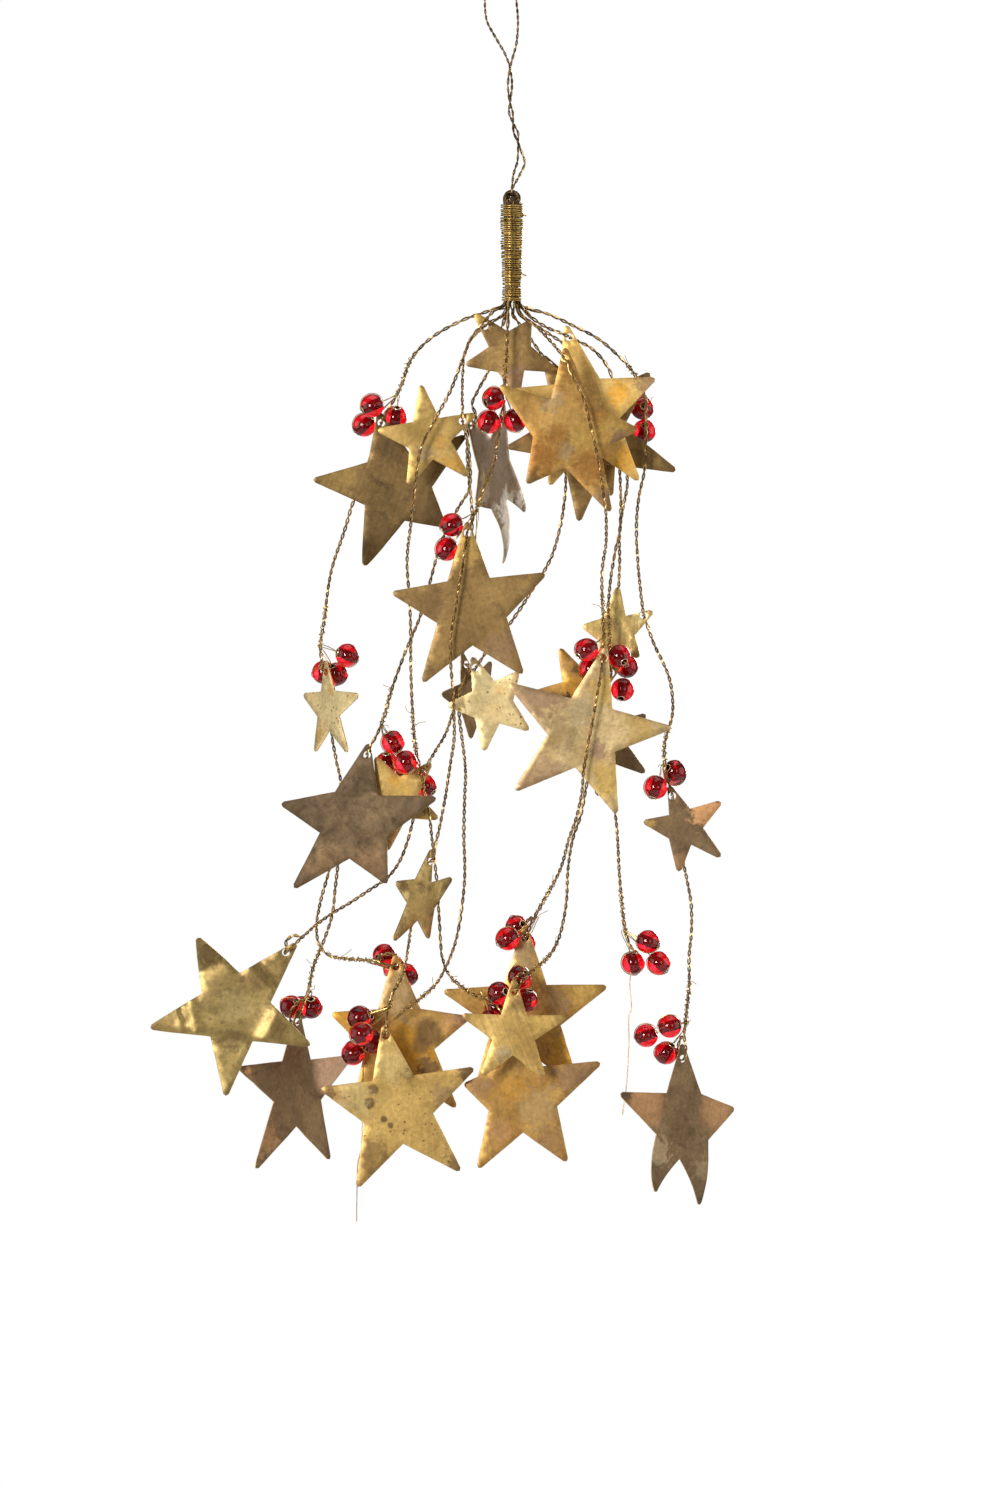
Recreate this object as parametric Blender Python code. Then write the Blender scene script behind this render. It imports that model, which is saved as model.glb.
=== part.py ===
"""Hanging star decoration: brass stars and glass beads on a bunch of twisted wire strands.

Metres, +Z up. The origin is where the hook carries the hanging loop, and -Y is the viewer's side.
"""

import math
from collections import namedtuple

import bmesh
import bpy
from mathutils import Matrix, Vector

MM = 0.001

# The picture plane: the real size of a photo pixel, and the pixel where the hook carries the loop.
PIXEL = 0.342 * MM
HOOK_COLUMN = 502
HOOK_ROW = -40

# Sheet stars: distance from the middle to a waist corner, by size.
LARGE = 12.5 * MM
SMALL = 7.6 * MM
TINY = 6.6 * MM
SHEET_THICKNESS = 0.4 * MM
TIP_ROUNDING = 1.0 * MM
HOLE_SIDES = 8
BEND_ROWS = 3

# Twisted strands, each a tube of the pair's outer diameter.
STRAND_DIAMETER = 1.2 * MM
HOLE_CLEARANCE = 0.6 * MM
CLEARANCE = 0.3 * MM
SAMPLE_STEP = 9.0 * MM

# How a strand passes a star's hole: the gap that it keeps to the sheet, and, as multiples of its distance
# from the sheet, where it bends in and out (run along the sheet, rise off it), how far it slides across the
# hole, and the points (rise, run up the sheet) of the hook at a strand's end.
THREAD_GAP = 0.75 * MM
THREAD_RUN = 2.4
THREAD_RISE = 1.3
THREAD_SLIDE = 0.5
HOOK_SLIDE = 0.3
HOOK_POINTS = ((2.1, 0.5), (1.7, 2.6))

# Glass beads on fine wire.
BEAD_DIAMETER = 8.0 * MM
BEAD_SIDES = 8
BEAD_ROWS = 5
BEAD_WIRE_DIAMETER = 0.5 * MM
TIE_TURNS = 1.25
TIE_PITCH = 1.0 * MM
TIE_POINTS_PER_TURN = 6

# Stem: the gathered bundle, its eye and the binding wire.
EYE_DROP = 81.4 * MM
EYE_OFFSET = 3.4 * MM
EYE_RADIUS = 2.0 * MM
EYE_WIRE_RADIUS = 1.1 * MM
EYE_HEIGHT = 1.9 * MM
EYE_SIDES = 10
STEM_LENGTH = 34.0 * MM
STEM_TOP_RADIUS = 2.8 * MM
STEM_NECK_RADIUS = 2.1 * MM
STEM_FOOT_RADIUS = 2.9 * MM
STEM_FOOT_HEIGHT = 1.6 * MM
STEM_SIDES = 20
BINDING_DIAMETER = 0.7 * MM
BINDING_TURNS = 20
BINDING_POINTS_PER_TURN = 8
STRAND_RING_RADIUS = 2.2 * MM
STRAND_CORE_OFFSET = 0.75 * MM

# Hanging loop of thin twisted wire.
LOOP_DIAMETER = 0.9 * MM
LOOP_BEND_SIDES = 6
LOOP_STEP = 3.6 * MM

# Points nearer than this are welded into one.
WELD = 0.0001 * MM

# A hand-cut star: its size, the hole's depth in mm, the photo pixels of its hole, of its middle and of its
# five tips, from the holed one anticlockwise, and its yaw in degrees. A bent arm's tip is as it would show
# without the bend's rise off the sheet.
# A bend is (arm, where it starts in mm from the middle, angle), with a positive angle towards the viewer.
Star = namedtuple("Star", "waist depth hole middle tips yaw bends", defaults=(0, ()))
STARS = {
    "star_01": Star(
        SMALL, 1.2, (484.6, 325.3), (510, 353),
        ((475, 313), (466, 364), (518, 396), (557, 370), (530.5, 320)),
    ),
    "star_02": Star(
        LARGE, 8.5, (381, 422), (395.5, 485),
        ((378.8, 411), (313, 479), (364, 565), (445, 526), (465, 435)), 0, ((2, 17, 45),),
    ),
    "star_03": Star(
        SMALL, -7, (462.5, 421), (429, 437.6),
        ((475.6, 414), (421, 385), (377.5, 430), (408, 485), (468, 476)),
    ),
    "star_04": Star(
        LARGE, 1, (471, 425), (494.8, 472.5),
        ((466, 415), (475, 504), (519, 562), (528.5, 509), (504.7, 402.5)), 64, ((2, 14, -30),),
    ),
    "star_05": Star(
        LARGE, -21, (564, 359), (569, 432),
        ((565, 348.5), (500, 386.5), (527, 484), (610, 512), (637, 430)),
    ),
    "star_06": Star(
        LARGE, -7, (569, 337), (583, 411),
        ((566.5, 325.5), (512, 390), (549.5, 485), (638.5, 480.5), (655, 378.5)),
    ),
    "star_07": Star(
        LARGE, 7, (549, 364), (588.5, 432),
        ((543, 354.5), (507.5, 446.5), (579, 520.5), (676.3, 470), (650.3, 372)),
    ),
    "star_08": Star(
        SMALL, 14, (613, 409), (599, 444.5),
        ((617.7, 397), (561.6, 413.4), (554.7, 472), (611.6, 495), (647, 447)),
    ),
    "star_09": Star(
        LARGE, -5, (467.5, 532.8), (471, 609),
        ((467, 521.4), (392.7, 592.7), (423, 681.7), (522.5, 673.5), (545, 574)),
    ),
    "star_10": Star(
        SMALL, 11, (325.7, 671.8), (328, 708.6),
        ((325.5, 660), (303, 694.5), (314, 751.6), (347.3, 752), (358, 695)), -57,
    ),
    "star_11": Star(
        LARGE, -9, (603, 658), (584, 732),
        ((606, 646.7), (509, 684), (515.5, 790), (616.5, 813), (670.7, 727.7)),
    ),
    "star_12": Star(
        SMALL, 1, (611, 672.6), (581, 694),
        ((620.7, 665), (560, 648), (532, 693), (565.7, 740.7), (620.7, 723)),
    ),
    "star_13": Star(
        SMALL, 9, (592, 707), (604.5, 743),
        ((588, 695.7), (555, 742), (598, 796), (645.5, 772.7), (646.3, 714.5)),
    ),
    "star_14": Star(
        TINY, 7, (644, 615), (616, 632),
        ((653, 611), (618, 586.5), (582.7, 626), (601, 662), (639, 657)), 0, ((4, 6, 40),),
    ),
    "star_15": Star(
        SMALL, 11, (475.6, 667.4), (491, 702.7),
        ((472, 656.5), (447.5, 705), (484, 750.7), (529, 730), (518.5, 672)),
    ),
    "star_16": Star(
        SMALL, 21, (466, 664), (473.5, 696.5),
        ((462, 653), (441.5, 694), (470.7, 738.5), (500, 719), (490.7, 661)), 45,
    ),
    "star_17": Star(
        LARGE, 1, (367, 754.8), (353.8, 822.5),
        ((368.5, 743.5), (281, 803.8), (293.8, 888), (386.5, 883.4), (436, 798)), -12,
    ),
    "star_18": Star(
        SMALL, 4, (422, 773), (396.5, 798.3),
        ((431, 763), (375.3, 757), (360.8, 807.8), (386.6, 851), (438, 818.8)),
    ),
    "star_19": Star(
        SMALL, 3, (430, 861.5), (421.5, 899),
        ((431.5, 849.3), (396, 882.4), (393.6, 940), (428.5, 939), (451.6, 879)), 50,
    ),
    "star_20": Star(
        TINY, 5, (672.6, 796), (684.4, 827),
        ((669.5, 785.8), (643.7, 822), (679, 871.7), (721, 857), (721.5, 802)),
    ),
    "star_21": Star(
        LARGE, -11, (286, 952), (235, 1008.8),
        ((296.5, 943), (198, 937.5), (150.6, 1027.5), (226, 1095.6), (310.3, 1045)), 0,
        ((1, 15, 40), (2, 15, -30)),
    ),
    "star_22": Star(
        LARGE, 15, (296.5, 1022.8), (296.3, 1091),
        ((297, 1010.5), (239.7, 1068), (255.6, 1168.8), (328.5, 1161.5), (350, 1059)), 48,
    ),
    "star_23": Star(
        LARGE, -11, (385.8, 1035.5), (397.3, 1107.4),
        ((383.9, 1024.7), (321, 1088.4), (357.8, 1186.6), (459.8, 1170.2), (473.8, 1068)),
    ),
    "star_24": Star(
        LARGE, 3, (395.6, 967), (399.5, 1039),
        ((395.2, 955), (332, 1014), (354.8, 1103.4), (455.5, 1107.8), (469.2, 1018)),
    ),
    "star_25": Star(
        LARGE, 7, (525, 938), (526, 1015),
        ((524.7, 925.4), (444, 991.6), (477.4, 1085.8), (577.5, 1086.5), (606.8, 987)),
    ),
    "star_26": Star(
        SMALL, -17, (514, 991), (513.5, 1032.5),
        ((514, 978.5), (462.3, 1014.5), (482, 1075), (544, 1077), (565.4, 1016.5)),
    ),
    "star_27": Star(
        LARGE, -7, (525, 1042), (522.2, 1096),
        ((525.3, 1028.7), (464, 1084), (478.5, 1167.7), (566.7, 1161), (600.3, 1062.8)),
    ),
    "star_28": Star(
        LARGE, 1, (682.6, 1059), (683.4, 1123),
        ((682.4, 1044), (620.4, 1093.2), (646.5, 1191.3), (707.5, 1206), (735, 1110)), 38,
        ((2, 13, 35), (3, 13, -30)),
    ),
}

# A strand's route from the stem's foot: (column, row, depth in mm), or a star that it threads.
# TO_BACK passes the hole away from the viewer and TO_FRONT towards the viewer.
# A route that stops at a star hooks into it.
TO_BACK = 1
TO_FRONT = -1
ROUTES = {
    "strand_01": (
        (489, 310, 3.5), (461, 320, 4.5), (428.6, 339, 5.5), (410.7, 359, 6), (400, 387, 6),
        ("star_02", TO_BACK), (362, 480, 12), (351.8, 504, 12), (345, 527, 11.5), (330.5, 572, 10),
        (323.7, 621, 9), (320, 645, 9), ("star_10", TO_BACK), (331.6, 736, 13), (336, 761, 12),
        (340.5, 786, 10.5), (329.8, 864.6, 13), (319.4, 904.5, 12), (316, 928.4, 9), (319.4, 946, 6),
        (329, 955.5, 4), (345, 958.7, 2), (372, 961, 1), ("star_24", TO_BACK),
    ),
    "strand_02": (
        (494.6, 310, -3.5), (484, 322, -6), (471.4, 338, -7), (464, 356, -9), (450, 392, -12),
        (435.7, 418.6, -13), (421.4, 447, -13), (417, 470, -12), (414, 497, -9), (410.7, 524, -4),
        (407, 560, 2), (410, 610, 3), (411, 679, 4), (412.4, 709.5, 3), (415.5, 748.6, 1.5),
        (420, 768, 0.5), (425, 795, 0.5), (429.8, 820, 1.5), (431.5, 836, 5), (433, 850, 9.5),
        (436.5, 880, 11.5), (439.8, 931.6, 12), (441, 950, 11), (443.5, 962, 7), (448, 973, 3),
        (458, 984, -1), (472.5, 993.8, -3.5), (487, 1000, -5), (507, 1016, -8), ("star_27", TO_BACK),
    ),
    "strand_03": (
        (506, 312.5, -0.3), ("star_01", TO_BACK), (471, 338, 3.5), (464, 356, 3.4), (463, 371, 2.6),
        (462.5, 389, -3), (462.5, 405, -8.5), ("star_03", TO_BACK), (468, 445, -4), (470.5, 475.7, -2),
        (469, 489, 0), (457, 509.6, 2), (442, 539.7, 3.5), (430, 581, 3.5), (420, 616, 5.5), (411, 637.6, 7),
        (401.7, 660.6, 7), (391, 691, 5), (385, 714, 2), (376, 736, -0.5), ("star_17", TO_BACK),
        (353, 805, 7), (338.8, 859, 9), (335, 887, 9), (332, 914, 9), (324, 939.6, 10), (313, 966.7, 11),
        (307.5, 992, 11.5), ("star_22", TO_BACK),
    ),
    "strand_04": (
        (501.8, 325.7, 5), (495, 345, 6), (489, 368.6, 4), (478, 390, 1.5), (472, 404, 0),
        ("star_04", TO_BACK), (467, 455, 6), (469, 480, 9), (471.4, 500.7, 10), (472, 530, 12),
        (471, 580, 17), (469, 630, 22), ("star_16", TO_FRONT), (458, 695, 17), (446, 732.5, 12),
        (436, 750, 6), ("star_18", TO_BACK), (415, 810, 6.5), (407.5, 841, 8), (398.6, 863, 7),
        (388, 877, 6), (367, 891.7, 3), (349.7, 903, 1), (333.8, 912.5, -1), (317.8, 923.6, -5),
        (305, 934.8, -10), ("star_21", TO_BACK),
    ),
    "strand_05": (
        (508, 317, -3.5), (507, 343.6, -5), (505, 375.7, -6), (504, 400, -5.5), (498, 438, -4),
        (494.6, 459.6, -4), (487.5, 479, -3.5), (476, 510, -2.8), ("star_09", TO_FRONT), (461, 575, -8.5),
        (455, 610, -8.5), (450.7, 640.7, -8.5), (450.7, 663.6, -8.5), (453, 690, -8), (454, 715, -3),
        (454, 740, 1), (450, 766, 1), (446, 793, 0), (441, 820, -0.5), ("star_19", TO_BACK), (417, 905, 4),
        (412, 923.6, 1), (408.7, 944, -4), (405.5, 963.5, -8), (400.7, 979.4, -10), (393, 993, -12),
        (387, 1012.7, -13), ("star_23", TO_BACK),
    ),
    "strand_06": (
        (513, 313, 2), (518.6, 322, 4), (532, 340, 5.2), ("star_07", TO_BACK), (558, 405, 11),
        (563, 440, 12), (566, 472.8, 12), (565, 497, 11), (560, 528, 9), (550.5, 559, 6), (532, 590, 3),
        (518.6, 611, 3), (507, 627, 4), (488, 649, 8), ("star_15", TO_BACK), (460, 690, 13.2),
        (459, 713, 13), (462.9, 745, 12), (465.5, 771.8, 9), (464.6, 798.6, 7), (463.8, 834, 6),
        (464.6, 879, 6), (459.7, 922, 3), (455, 944, -1), (445.4, 968, -4), (435.8, 984, -4),
        (420, 998.6, -4), (406.5, 1009, -4.5), (394.4, 1019.6, -5),
    ),
    "strand_07": (
        (530, 308, 1.5), (549.6, 314, 1), (572, 324.5, 1), (598, 338, 1), (615, 352, 1), (629, 366, 1.5),
        (636, 376, 1.5), (645, 397, 1.5), (646, 419, 1.5), (646, 441.7, 1.5), (644.5, 471, 2),
        (639, 497, 3), (636.7, 526, 4), (638, 559, 4.5), (641, 592, 5), ("star_14", TO_BACK),
        (655, 645, 9.5), (667.8, 672, 8), (672.6, 693, 7), (672.6, 716, 7), (669, 729, 6.5), (665, 745, 5),
        (666, 772, 3.5), ("star_20", TO_BACK), (681, 850, 8), (688, 883, 7), (691.7, 906, 6),
        (691.7, 934, 5), (689.5, 956, 4), (689.5, 984, 2), (687, 1010, 0.5), (684.5, 1036, -0.5),
        ("star_28", TO_BACK),
    ),
    "strand_08": (
        (524, 309, -2.5), (534, 319, -4), (548, 328, -7), (558, 332, -8.6), ("star_06", TO_BACK),
        (590, 347, -4), (604, 361, -3.2), (611.7, 376, -2.5), (617, 420, -1), (620, 472.8, 1),
        (621, 497, 2), (620, 531, 2), (616, 548, 2), (610, 586, 1.5), (608.5, 614.8, 1), (610, 648, -0.5),
        ("star_12", TO_BACK), (601, 720, 5), (592, 755, 5), (587, 783, 5), (581, 815, 3), (573, 838.6, 1),
        (568, 870, -1), (566.6, 900, -3), (563, 923, -5), (558.6, 939, -7), (551, 953.6, -10),
        (540.7, 964, -13), (526, 976, -17.5), ("star_26", TO_BACK),
    ),
    "strand_09": (
        (522, 315, -4), (534, 324.5, -8), (546, 336.6, -13), (556, 348, -18), ("star_05", TO_FRONT),
        (577, 387, -25), (584, 402, -25), (594.5, 445, -25), (599.7, 471, -24), (603, 493, -24.5),
        (605.7, 514, -24), (605.9, 528, -22.3), (605.7, 545, -17), (602.8, 563, -12), (601.8, 586, -9),
        (602.8, 607, -7.5), (603.7, 637, -6), ("star_11", TO_FRONT), (599, 684, -13), (592.5, 720.7, -13),
        (589, 738.6, -13), (583.6, 770.7, -13), (581.8, 792, -13), (577, 815, -13), (569, 838.6, -10),
        (560, 870, -4), (544, 900, 2), (533, 920, 4.5), ("star_25", TO_BACK),
    ),
    "strand_10": (
        (520, 313, 5), (545, 330, 10), (568, 345, 13), (584, 357, 13.5), (600, 384, 12.2),
        ("star_08", TO_BACK), (622, 450, 17), (628, 479.7, 16), (623.8, 505.5, 14), (620, 531, 13),
        (620, 567, 12), (617, 610, 12), (610, 650, 11), (601, 682, 8), ("star_13", TO_BACK), (605, 760, 12),
        (615.7, 815, 11), (618, 840, 9), (619, 863, 7), (621, 891, 5), (624.5, 923, 3), (630, 945, 1),
        (638, 954, -0.5),
    ),
}

# Where the strands leave the stem: eight round a ring at these angles from +X, and two at its core.
RING_ANGLES = {
    "strand_08": -22.5, "strand_09": -67.5, "strand_05": -112.5, "strand_02": -157.5,
    "strand_07": 22.5, "strand_10": 67.5, "strand_04": 112.5, "strand_01": 157.5,
}
CORE_SIDES = {"strand_03": -1, "strand_06": 1}

# Each bead cluster: its strand, the row where its wire is tied on, and its beads (column, row, depth in mm).
Cluster = namedtuple("Cluster", "strand tie_row beads")
CLUSTERS = {
    "bead_cluster_01": Cluster(
        "strand_01", 392, ((372, 405, 4.9), (364, 424, 11.6), (395.3, 416, 12))
    ),
    "bead_cluster_02": Cluster(
        "strand_05", 392, ((493.6, 398.6, -9), (489, 422, -7.7), (515.4, 420, -5.5))
    ),
    "bead_cluster_03": Cluster(
        "strand_07", 400, ((642.8, 407, 11.6), (645, 429.6, 17.6), (640, 403, 20.2))
    ),
    "bead_cluster_04": Cluster(
        "strand_05", 508, ((451.8, 524.8, -2.8), (447, 549, -0.8), (472, 560, 0.5))
    ),
    "bead_cluster_05": Cluster(
        "strand_01", 645, ((346.8, 654.8, 11.5), (336, 673.6, 16.4), (322.7, 671.8, 23.2))
    ),
    "bead_cluster_06": Cluster(
        "strand_03", 724, ((393, 742, 0.9), (387, 763, 8.4), (405.7, 762, -1.6))
    ),
    "bead_cluster_07": Cluster(
        "strand_02", 752, ((407, 771, 14), (425, 786, 11.5), (417, 780, 21))
    ),
    "bead_cluster_08": Cluster(
        "strand_09", 634, ((586.6, 649.7, -10.1), (590.7, 669, -4.2), (594, 694.5, -4.2))
    ),
    "bead_cluster_09": Cluster(
        "strand_08", 648, ((619.2, 656, -4.8), (627, 666, 9.8), (622.8, 689.4, 3.8))
    ),
    "bead_cluster_10": Cluster(
        "strand_07", 764, ((675, 771.4, 7.4), (656.2, 787.4, 1.3), (675.5, 774.5, 15.5))
    ),
    "bead_cluster_11": Cluster(
        "strand_03", 990, ((290.4, 1008, 21.6), (310.4, 1008, 17.2), (300.2, 1009, 29.1))
    ),
    "bead_cluster_12": Cluster(
        "strand_01", 960.5, ((384, 955.8, 8.7), (406.5, 975.6, 9), (394, 968, 15.5))
    ),
    "bead_cluster_13": Cluster(
        "strand_05", 1004, ((359, 1017.6, -9.9), (361.8, 1033.5, -16), (363.6, 1019.6, -1.8))
    ),
    "bead_cluster_14": Cluster(
        "strand_06", 1012, ((373.2, 1042, -2.3), (352.8, 1054, -1.4), (354.3, 1052, 8.9))
    ),
    "bead_cluster_15": Cluster(
        "strand_09", 915, ((507.8, 939, 3), (517, 927.4, 13.9), (524.2, 943.7, 19.3))
    ),
    "bead_cluster_16": Cluster(
        "strand_08", 968, ((519.3, 976.8, -9.3), (526.4, 1000, -11), (520, 980.3, -1))
    ),
    "bead_cluster_17": Cluster(
        "strand_02", 998, ((498.8, 992.9, -10.2), (496, 1008, -1.2), (490, 1021, -9.8))
    ),
    "bead_cluster_18": Cluster(
        "strand_10", 932, ((648.3, 941.8, 0.1), (633.6, 963, 3.1), (659, 963, -0.4))
    ),
    "bead_cluster_19": Cluster(
        "strand_07", 1022, ((670, 1026.4, 0), (646.6, 1036, 3.4), (666.5, 1053.4, 6.8))
    ),
}

# The hanging loop's legs above their first crossing, as (column, row).
LOOP_LEFT = ((491, -35), (486, -20), (484.8, 0), (487, 20), (497, 39), (505, 53))
LOOP_RIGHT = ((512, -35), (516, -20), (516.5, 0), (518, 20), (516.7, 41), (513, 56))
# Below it they twist: (row, column of the middle, half the gap between the legs in mm, turn in degrees).
LOOP_TWIST = (
    (67, 510, 0.65, -90), (84, 510, 0.7, 0), (102, 510, 0.65, 90), (112, 511, 0.65, 180),
    (122, 513, 0.65, 270), (132, 516, 0.7, 360), (142, 518, 0.7, 450), (152, 520, 0.9, 495),
    (162, 521, 1.3, 540), (173, 517, 1.6, 585),
)


def picture(column, row, depth=0.0):
    """The point in space that a photo pixel shows at a depth in mm."""
    return Vector(((column - HOOK_COLUMN) * PIXEL, depth * MM, (HOOK_ROW - row) * PIXEL))


def clear_scene():
    for obj in list(bpy.data.objects):
        bpy.data.objects.remove(obj, do_unlink=True)


def finish(name, colour, roughness, metallic, transmission=0.0):
    material = bpy.data.materials.new(name)
    material.use_nodes = True
    shader = material.node_tree.nodes["Principled BSDF"]
    shader.inputs["Base Color"].default_value = (*colour, 1.0)
    shader.inputs["Roughness"].default_value = roughness
    shader.inputs["Metallic"].default_value = metallic
    shader.inputs["Transmission Weight"].default_value = transmission
    return material


def add(name, data, parent=None, location=(0, 0, 0), helper=False):
    """Links an object to the scene at a world location, under its parent empty."""
    obj = bpy.data.objects.new(name, data)
    bpy.context.scene.collection.objects.link(obj)
    obj.location = Vector(location)
    if parent is not None:
        obj.parent = parent
        obj.location = Vector(location) - parent.location
    if helper:
        obj.hide_render = True
        obj.display_type = "WIRE"
    return obj


def smooth_curve(points, step):
    """Points on a centripetal Catmull-Rom curve through these points, about a step apart on long spans."""
    ends = [2 * points[0] - points[1], *points, 2 * points[-1] - points[-2]]
    found = [points[0].copy()]
    for before, start, stop, after in zip(ends, ends[1:], ends[2:], ends[3:]):
        knots = [0.0]
        for a, b in ((before, start), (start, stop), (stop, after)):
            knots.append(knots[-1] + math.sqrt((b - a).length))
        pieces = max(1, round((stop - start).length / step))
        for i in range(1, pieces + 1):
            t = knots[1] + (knots[2] - knots[1]) * i / pieces
            found.append(catmull_rom((before, start, stop, after), knots, t))
    return found


def catmull_rom(corners, knots, t):
    """The point at t on the span between the middle two of four corners."""
    level = list(corners)
    for width, spans in ((1, (0, 1, 2)), (2, (0, 1)), (1, (1,))):
        level = [
            a.lerp(b, (t - knots[i]) / (knots[i + width] - knots[i]))
            for i, a, b in zip(spans, level, level[1:])
        ]
    return level[0]


def tube(name, points, diameter, resolution, parent, material, closed=False):
    """A curve object along these world points, with a round section and capped ends."""
    curve = bpy.data.curves.new(name, "CURVE")
    curve.dimensions = "3D"
    curve.bevel_depth = diameter / 2
    curve.bevel_resolution = resolution
    curve.use_fill_caps = True
    spline = curve.splines.new("POLY")
    spline.points.add(len(points) - 1)
    spline.use_cyclic_u = closed
    origin = parent.location if parent else Vector()
    for place, point in zip(spline.points, points):
        place.co = (*(point - origin), 1.0)
    curve.materials.append(material)
    return add(name, curve, parent, origin)


def star_frame(star):
    """A star's place, with its hole as origin: x across, y up and z towards the viewer."""
    turn = Matrix.Rotation(math.radians(star.yaw), 4, "Z") @ Matrix.Rotation(math.radians(90), 4, "X")
    return Matrix.Translation(picture(*star.hole, star.depth)) @ turn


def on_sheet(star, pixel):
    """Where a photo pixel shows the star's sheet, as a flat vector from the hole."""
    offset = Vector((pixel[0] - star.hole[0], star.hole[1] - pixel[1])) * PIXEL
    offset.x /= math.cos(math.radians(star.yaw))
    return offset


def star_arms(star):
    """The flat vectors from the middle to the tips, with a bent arm as long as it is before it is bent."""
    middle = on_sheet(star, star.middle)
    arms = [on_sheet(star, tip) - middle for tip in star.tips]
    for arm, start, degrees in star.bends:
        angle = math.radians(degrees)
        past = arms[arm].length - start * MM
        arms[arm] += arms[arm].normalized() * past * (angle / math.sin(angle) - 1)
    return arms


def edge_angle(centre, corner, side):
    """Where an edge from a corner touches the rounding of a tip, as an angle round the tip's centre."""
    flank = corner - centre
    return math.atan2(flank.y, flank.x) + side * math.acos(TIP_ROUNDING / flank.length)


def star_outline(star):
    """The flat star's edge round its middle, anticlockwise, with rounded tips."""
    arms = star_arms(star)
    ways = [arm.normalized() for arm in arms]
    waists = [(a + b).normalized() * star.waist for a, b in zip(ways, ways[1:] + ways[:1])]
    outline = []
    for arm, way, before, after in zip(arms, ways, waists[-1:] + waists, waists):
        centre = arm - way * TIP_ROUNDING
        angles = edge_angle(centre, before, 1), math.atan2(way.y, way.x), edge_angle(centre, after, -1)
        outline += [centre + Vector((math.cos(a), math.sin(a))) * TIP_ROUNDING for a in angles]
        outline.append(after)
    return outline


def add_ring(sheet, points):
    """Closes a ring of edges through flat points."""
    corners = [sheet.verts.new((point.x, point.y, 0)) for point in points]
    return [sheet.edges.new((a, b)) for a, b in zip(corners, corners[1:] + corners[:1])]


def bend_arm(sheet, arm, start, degrees):
    """Curls an arm out of the sheet's plane along a round arc that starts part of the way to its tip."""
    along = arm.normalized().to_3d()
    length = arm.length - start * MM
    for row in range(BEND_ROWS):
        bmesh.ops.bisect_plane(
            sheet,
            geom=[*sheet.verts, *sheet.edges, *sheet.faces],
            plane_co=along * (start * MM + length * row / BEND_ROWS),
            plane_no=along,
        )
    curve = math.radians(degrees) / length
    for corner in sheet.verts:
        past = corner.co.dot(along) - start * MM
        if past > 0:
            corner.co += along * (math.sin(curve * past) / curve - past)
            corner.co.z += (1 - math.cos(curve * past)) / curve


def star_mesh(name, star, material):
    """The star's middle sheet, with its hole, moved so that the hole is the origin."""
    middle = on_sheet(star, star.middle)
    hole_radius = STRAND_DIAMETER / 2 + HOLE_CLEARANCE
    hole = [
        Vector((math.cos(angle), math.sin(angle))) * hole_radius - middle
        for angle in (2 * math.pi * k / HOLE_SIDES for k in range(HOLE_SIDES))
    ]
    sheet = bmesh.new()
    edges = add_ring(sheet, star_outline(star)) + add_ring(sheet, hole)
    bmesh.ops.triangle_fill(sheet, edges=edges, use_beauty=True, normal=(0, 0, 1))
    arms = star_arms(star)
    for arm, start, degrees in star.bends:
        bend_arm(sheet, arms[arm], start, degrees)
    bmesh.ops.translate(sheet, verts=sheet.verts, vec=middle.to_3d())
    bmesh.ops.recalc_face_normals(sheet, faces=sheet.faces)
    mesh = bpy.data.meshes.new(name)
    sheet.to_mesh(mesh)
    sheet.free()
    mesh.materials.append(material)
    return mesh


def make_star(name, star, parent, material):
    frame = star_frame(star)
    obj = add(name, star_mesh(name, star, material), parent, frame.translation)
    obj.rotation_mode = "QUATERNION"
    obj.rotation_quaternion = frame.to_quaternion()
    thicken = obj.modifiers.new("sheet", "SOLIDIFY")
    thicken.thickness = SHEET_THICKNESS
    thicken.offset = 0
    return obj


def in_plane(direction, normal):
    """The unit part of a direction that lies in the plane with this normal."""
    return (direction - normal * direction.dot(normal)).normalized()


def threading(star, way, before, after):
    """Points that carry a strand steeply through a star's hole, or hook it in if nothing comes after."""
    frame = star_frame(star)
    hole = frame.translation
    facing = frame.to_3x3() @ Vector((0, 0, way))
    reach = STRAND_DIAMETER / 2 + SHEET_THICKNESS / 2 + THREAD_GAP
    approach = in_plane(before - hole, facing)
    first = hole + (facing * THREAD_RISE + approach * THREAD_RUN) * reach
    if after is None:
        upward = in_plane(Vector((0, 0, 1)), facing)
        entry = (facing + approach * HOOK_SLIDE) * reach
        hook = [hole + (upward * run - facing * rise) * reach for rise, run in HOOK_POINTS]
        return [first, hole + entry, hole - entry, *hook]
    leave = in_plane(after - hole, facing)
    crossing = (facing - (leave - approach).normalized() * THREAD_SLIDE) * reach
    last = hole + (leave * THREAD_RUN - facing * THREAD_RISE) * reach
    return [first, hole + crossing, hole - crossing, last]


def stem_axis():
    return Vector((EYE_OFFSET, 0, -EYE_DROP))


def stem_foot():
    return stem_axis() - Vector((0, 0, EYE_HEIGHT + STEM_LENGTH))


def strand_start(name):
    """The strand's first two points, straight down from the stem's foot."""
    if name in CORE_SIDES:
        offset = Vector((STRAND_CORE_OFFSET * CORE_SIDES[name], 0, 0))
    else:
        angle = math.radians(RING_ANGLES[name])
        offset = Vector((math.cos(angle), math.sin(angle), 0)) * STRAND_RING_RADIUS
    top = stem_foot() + offset - Vector((0, 0, CLEARANCE))
    return [top, top - Vector((0, 0, STRAND_DIAMETER))]


def route_point(stop):
    """The point of a plain stop, or the hole of a star that the strand threads."""
    if stop[0] in STARS:
        return star_frame(STARS[stop[0]]).translation
    return picture(*stop)


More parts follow.
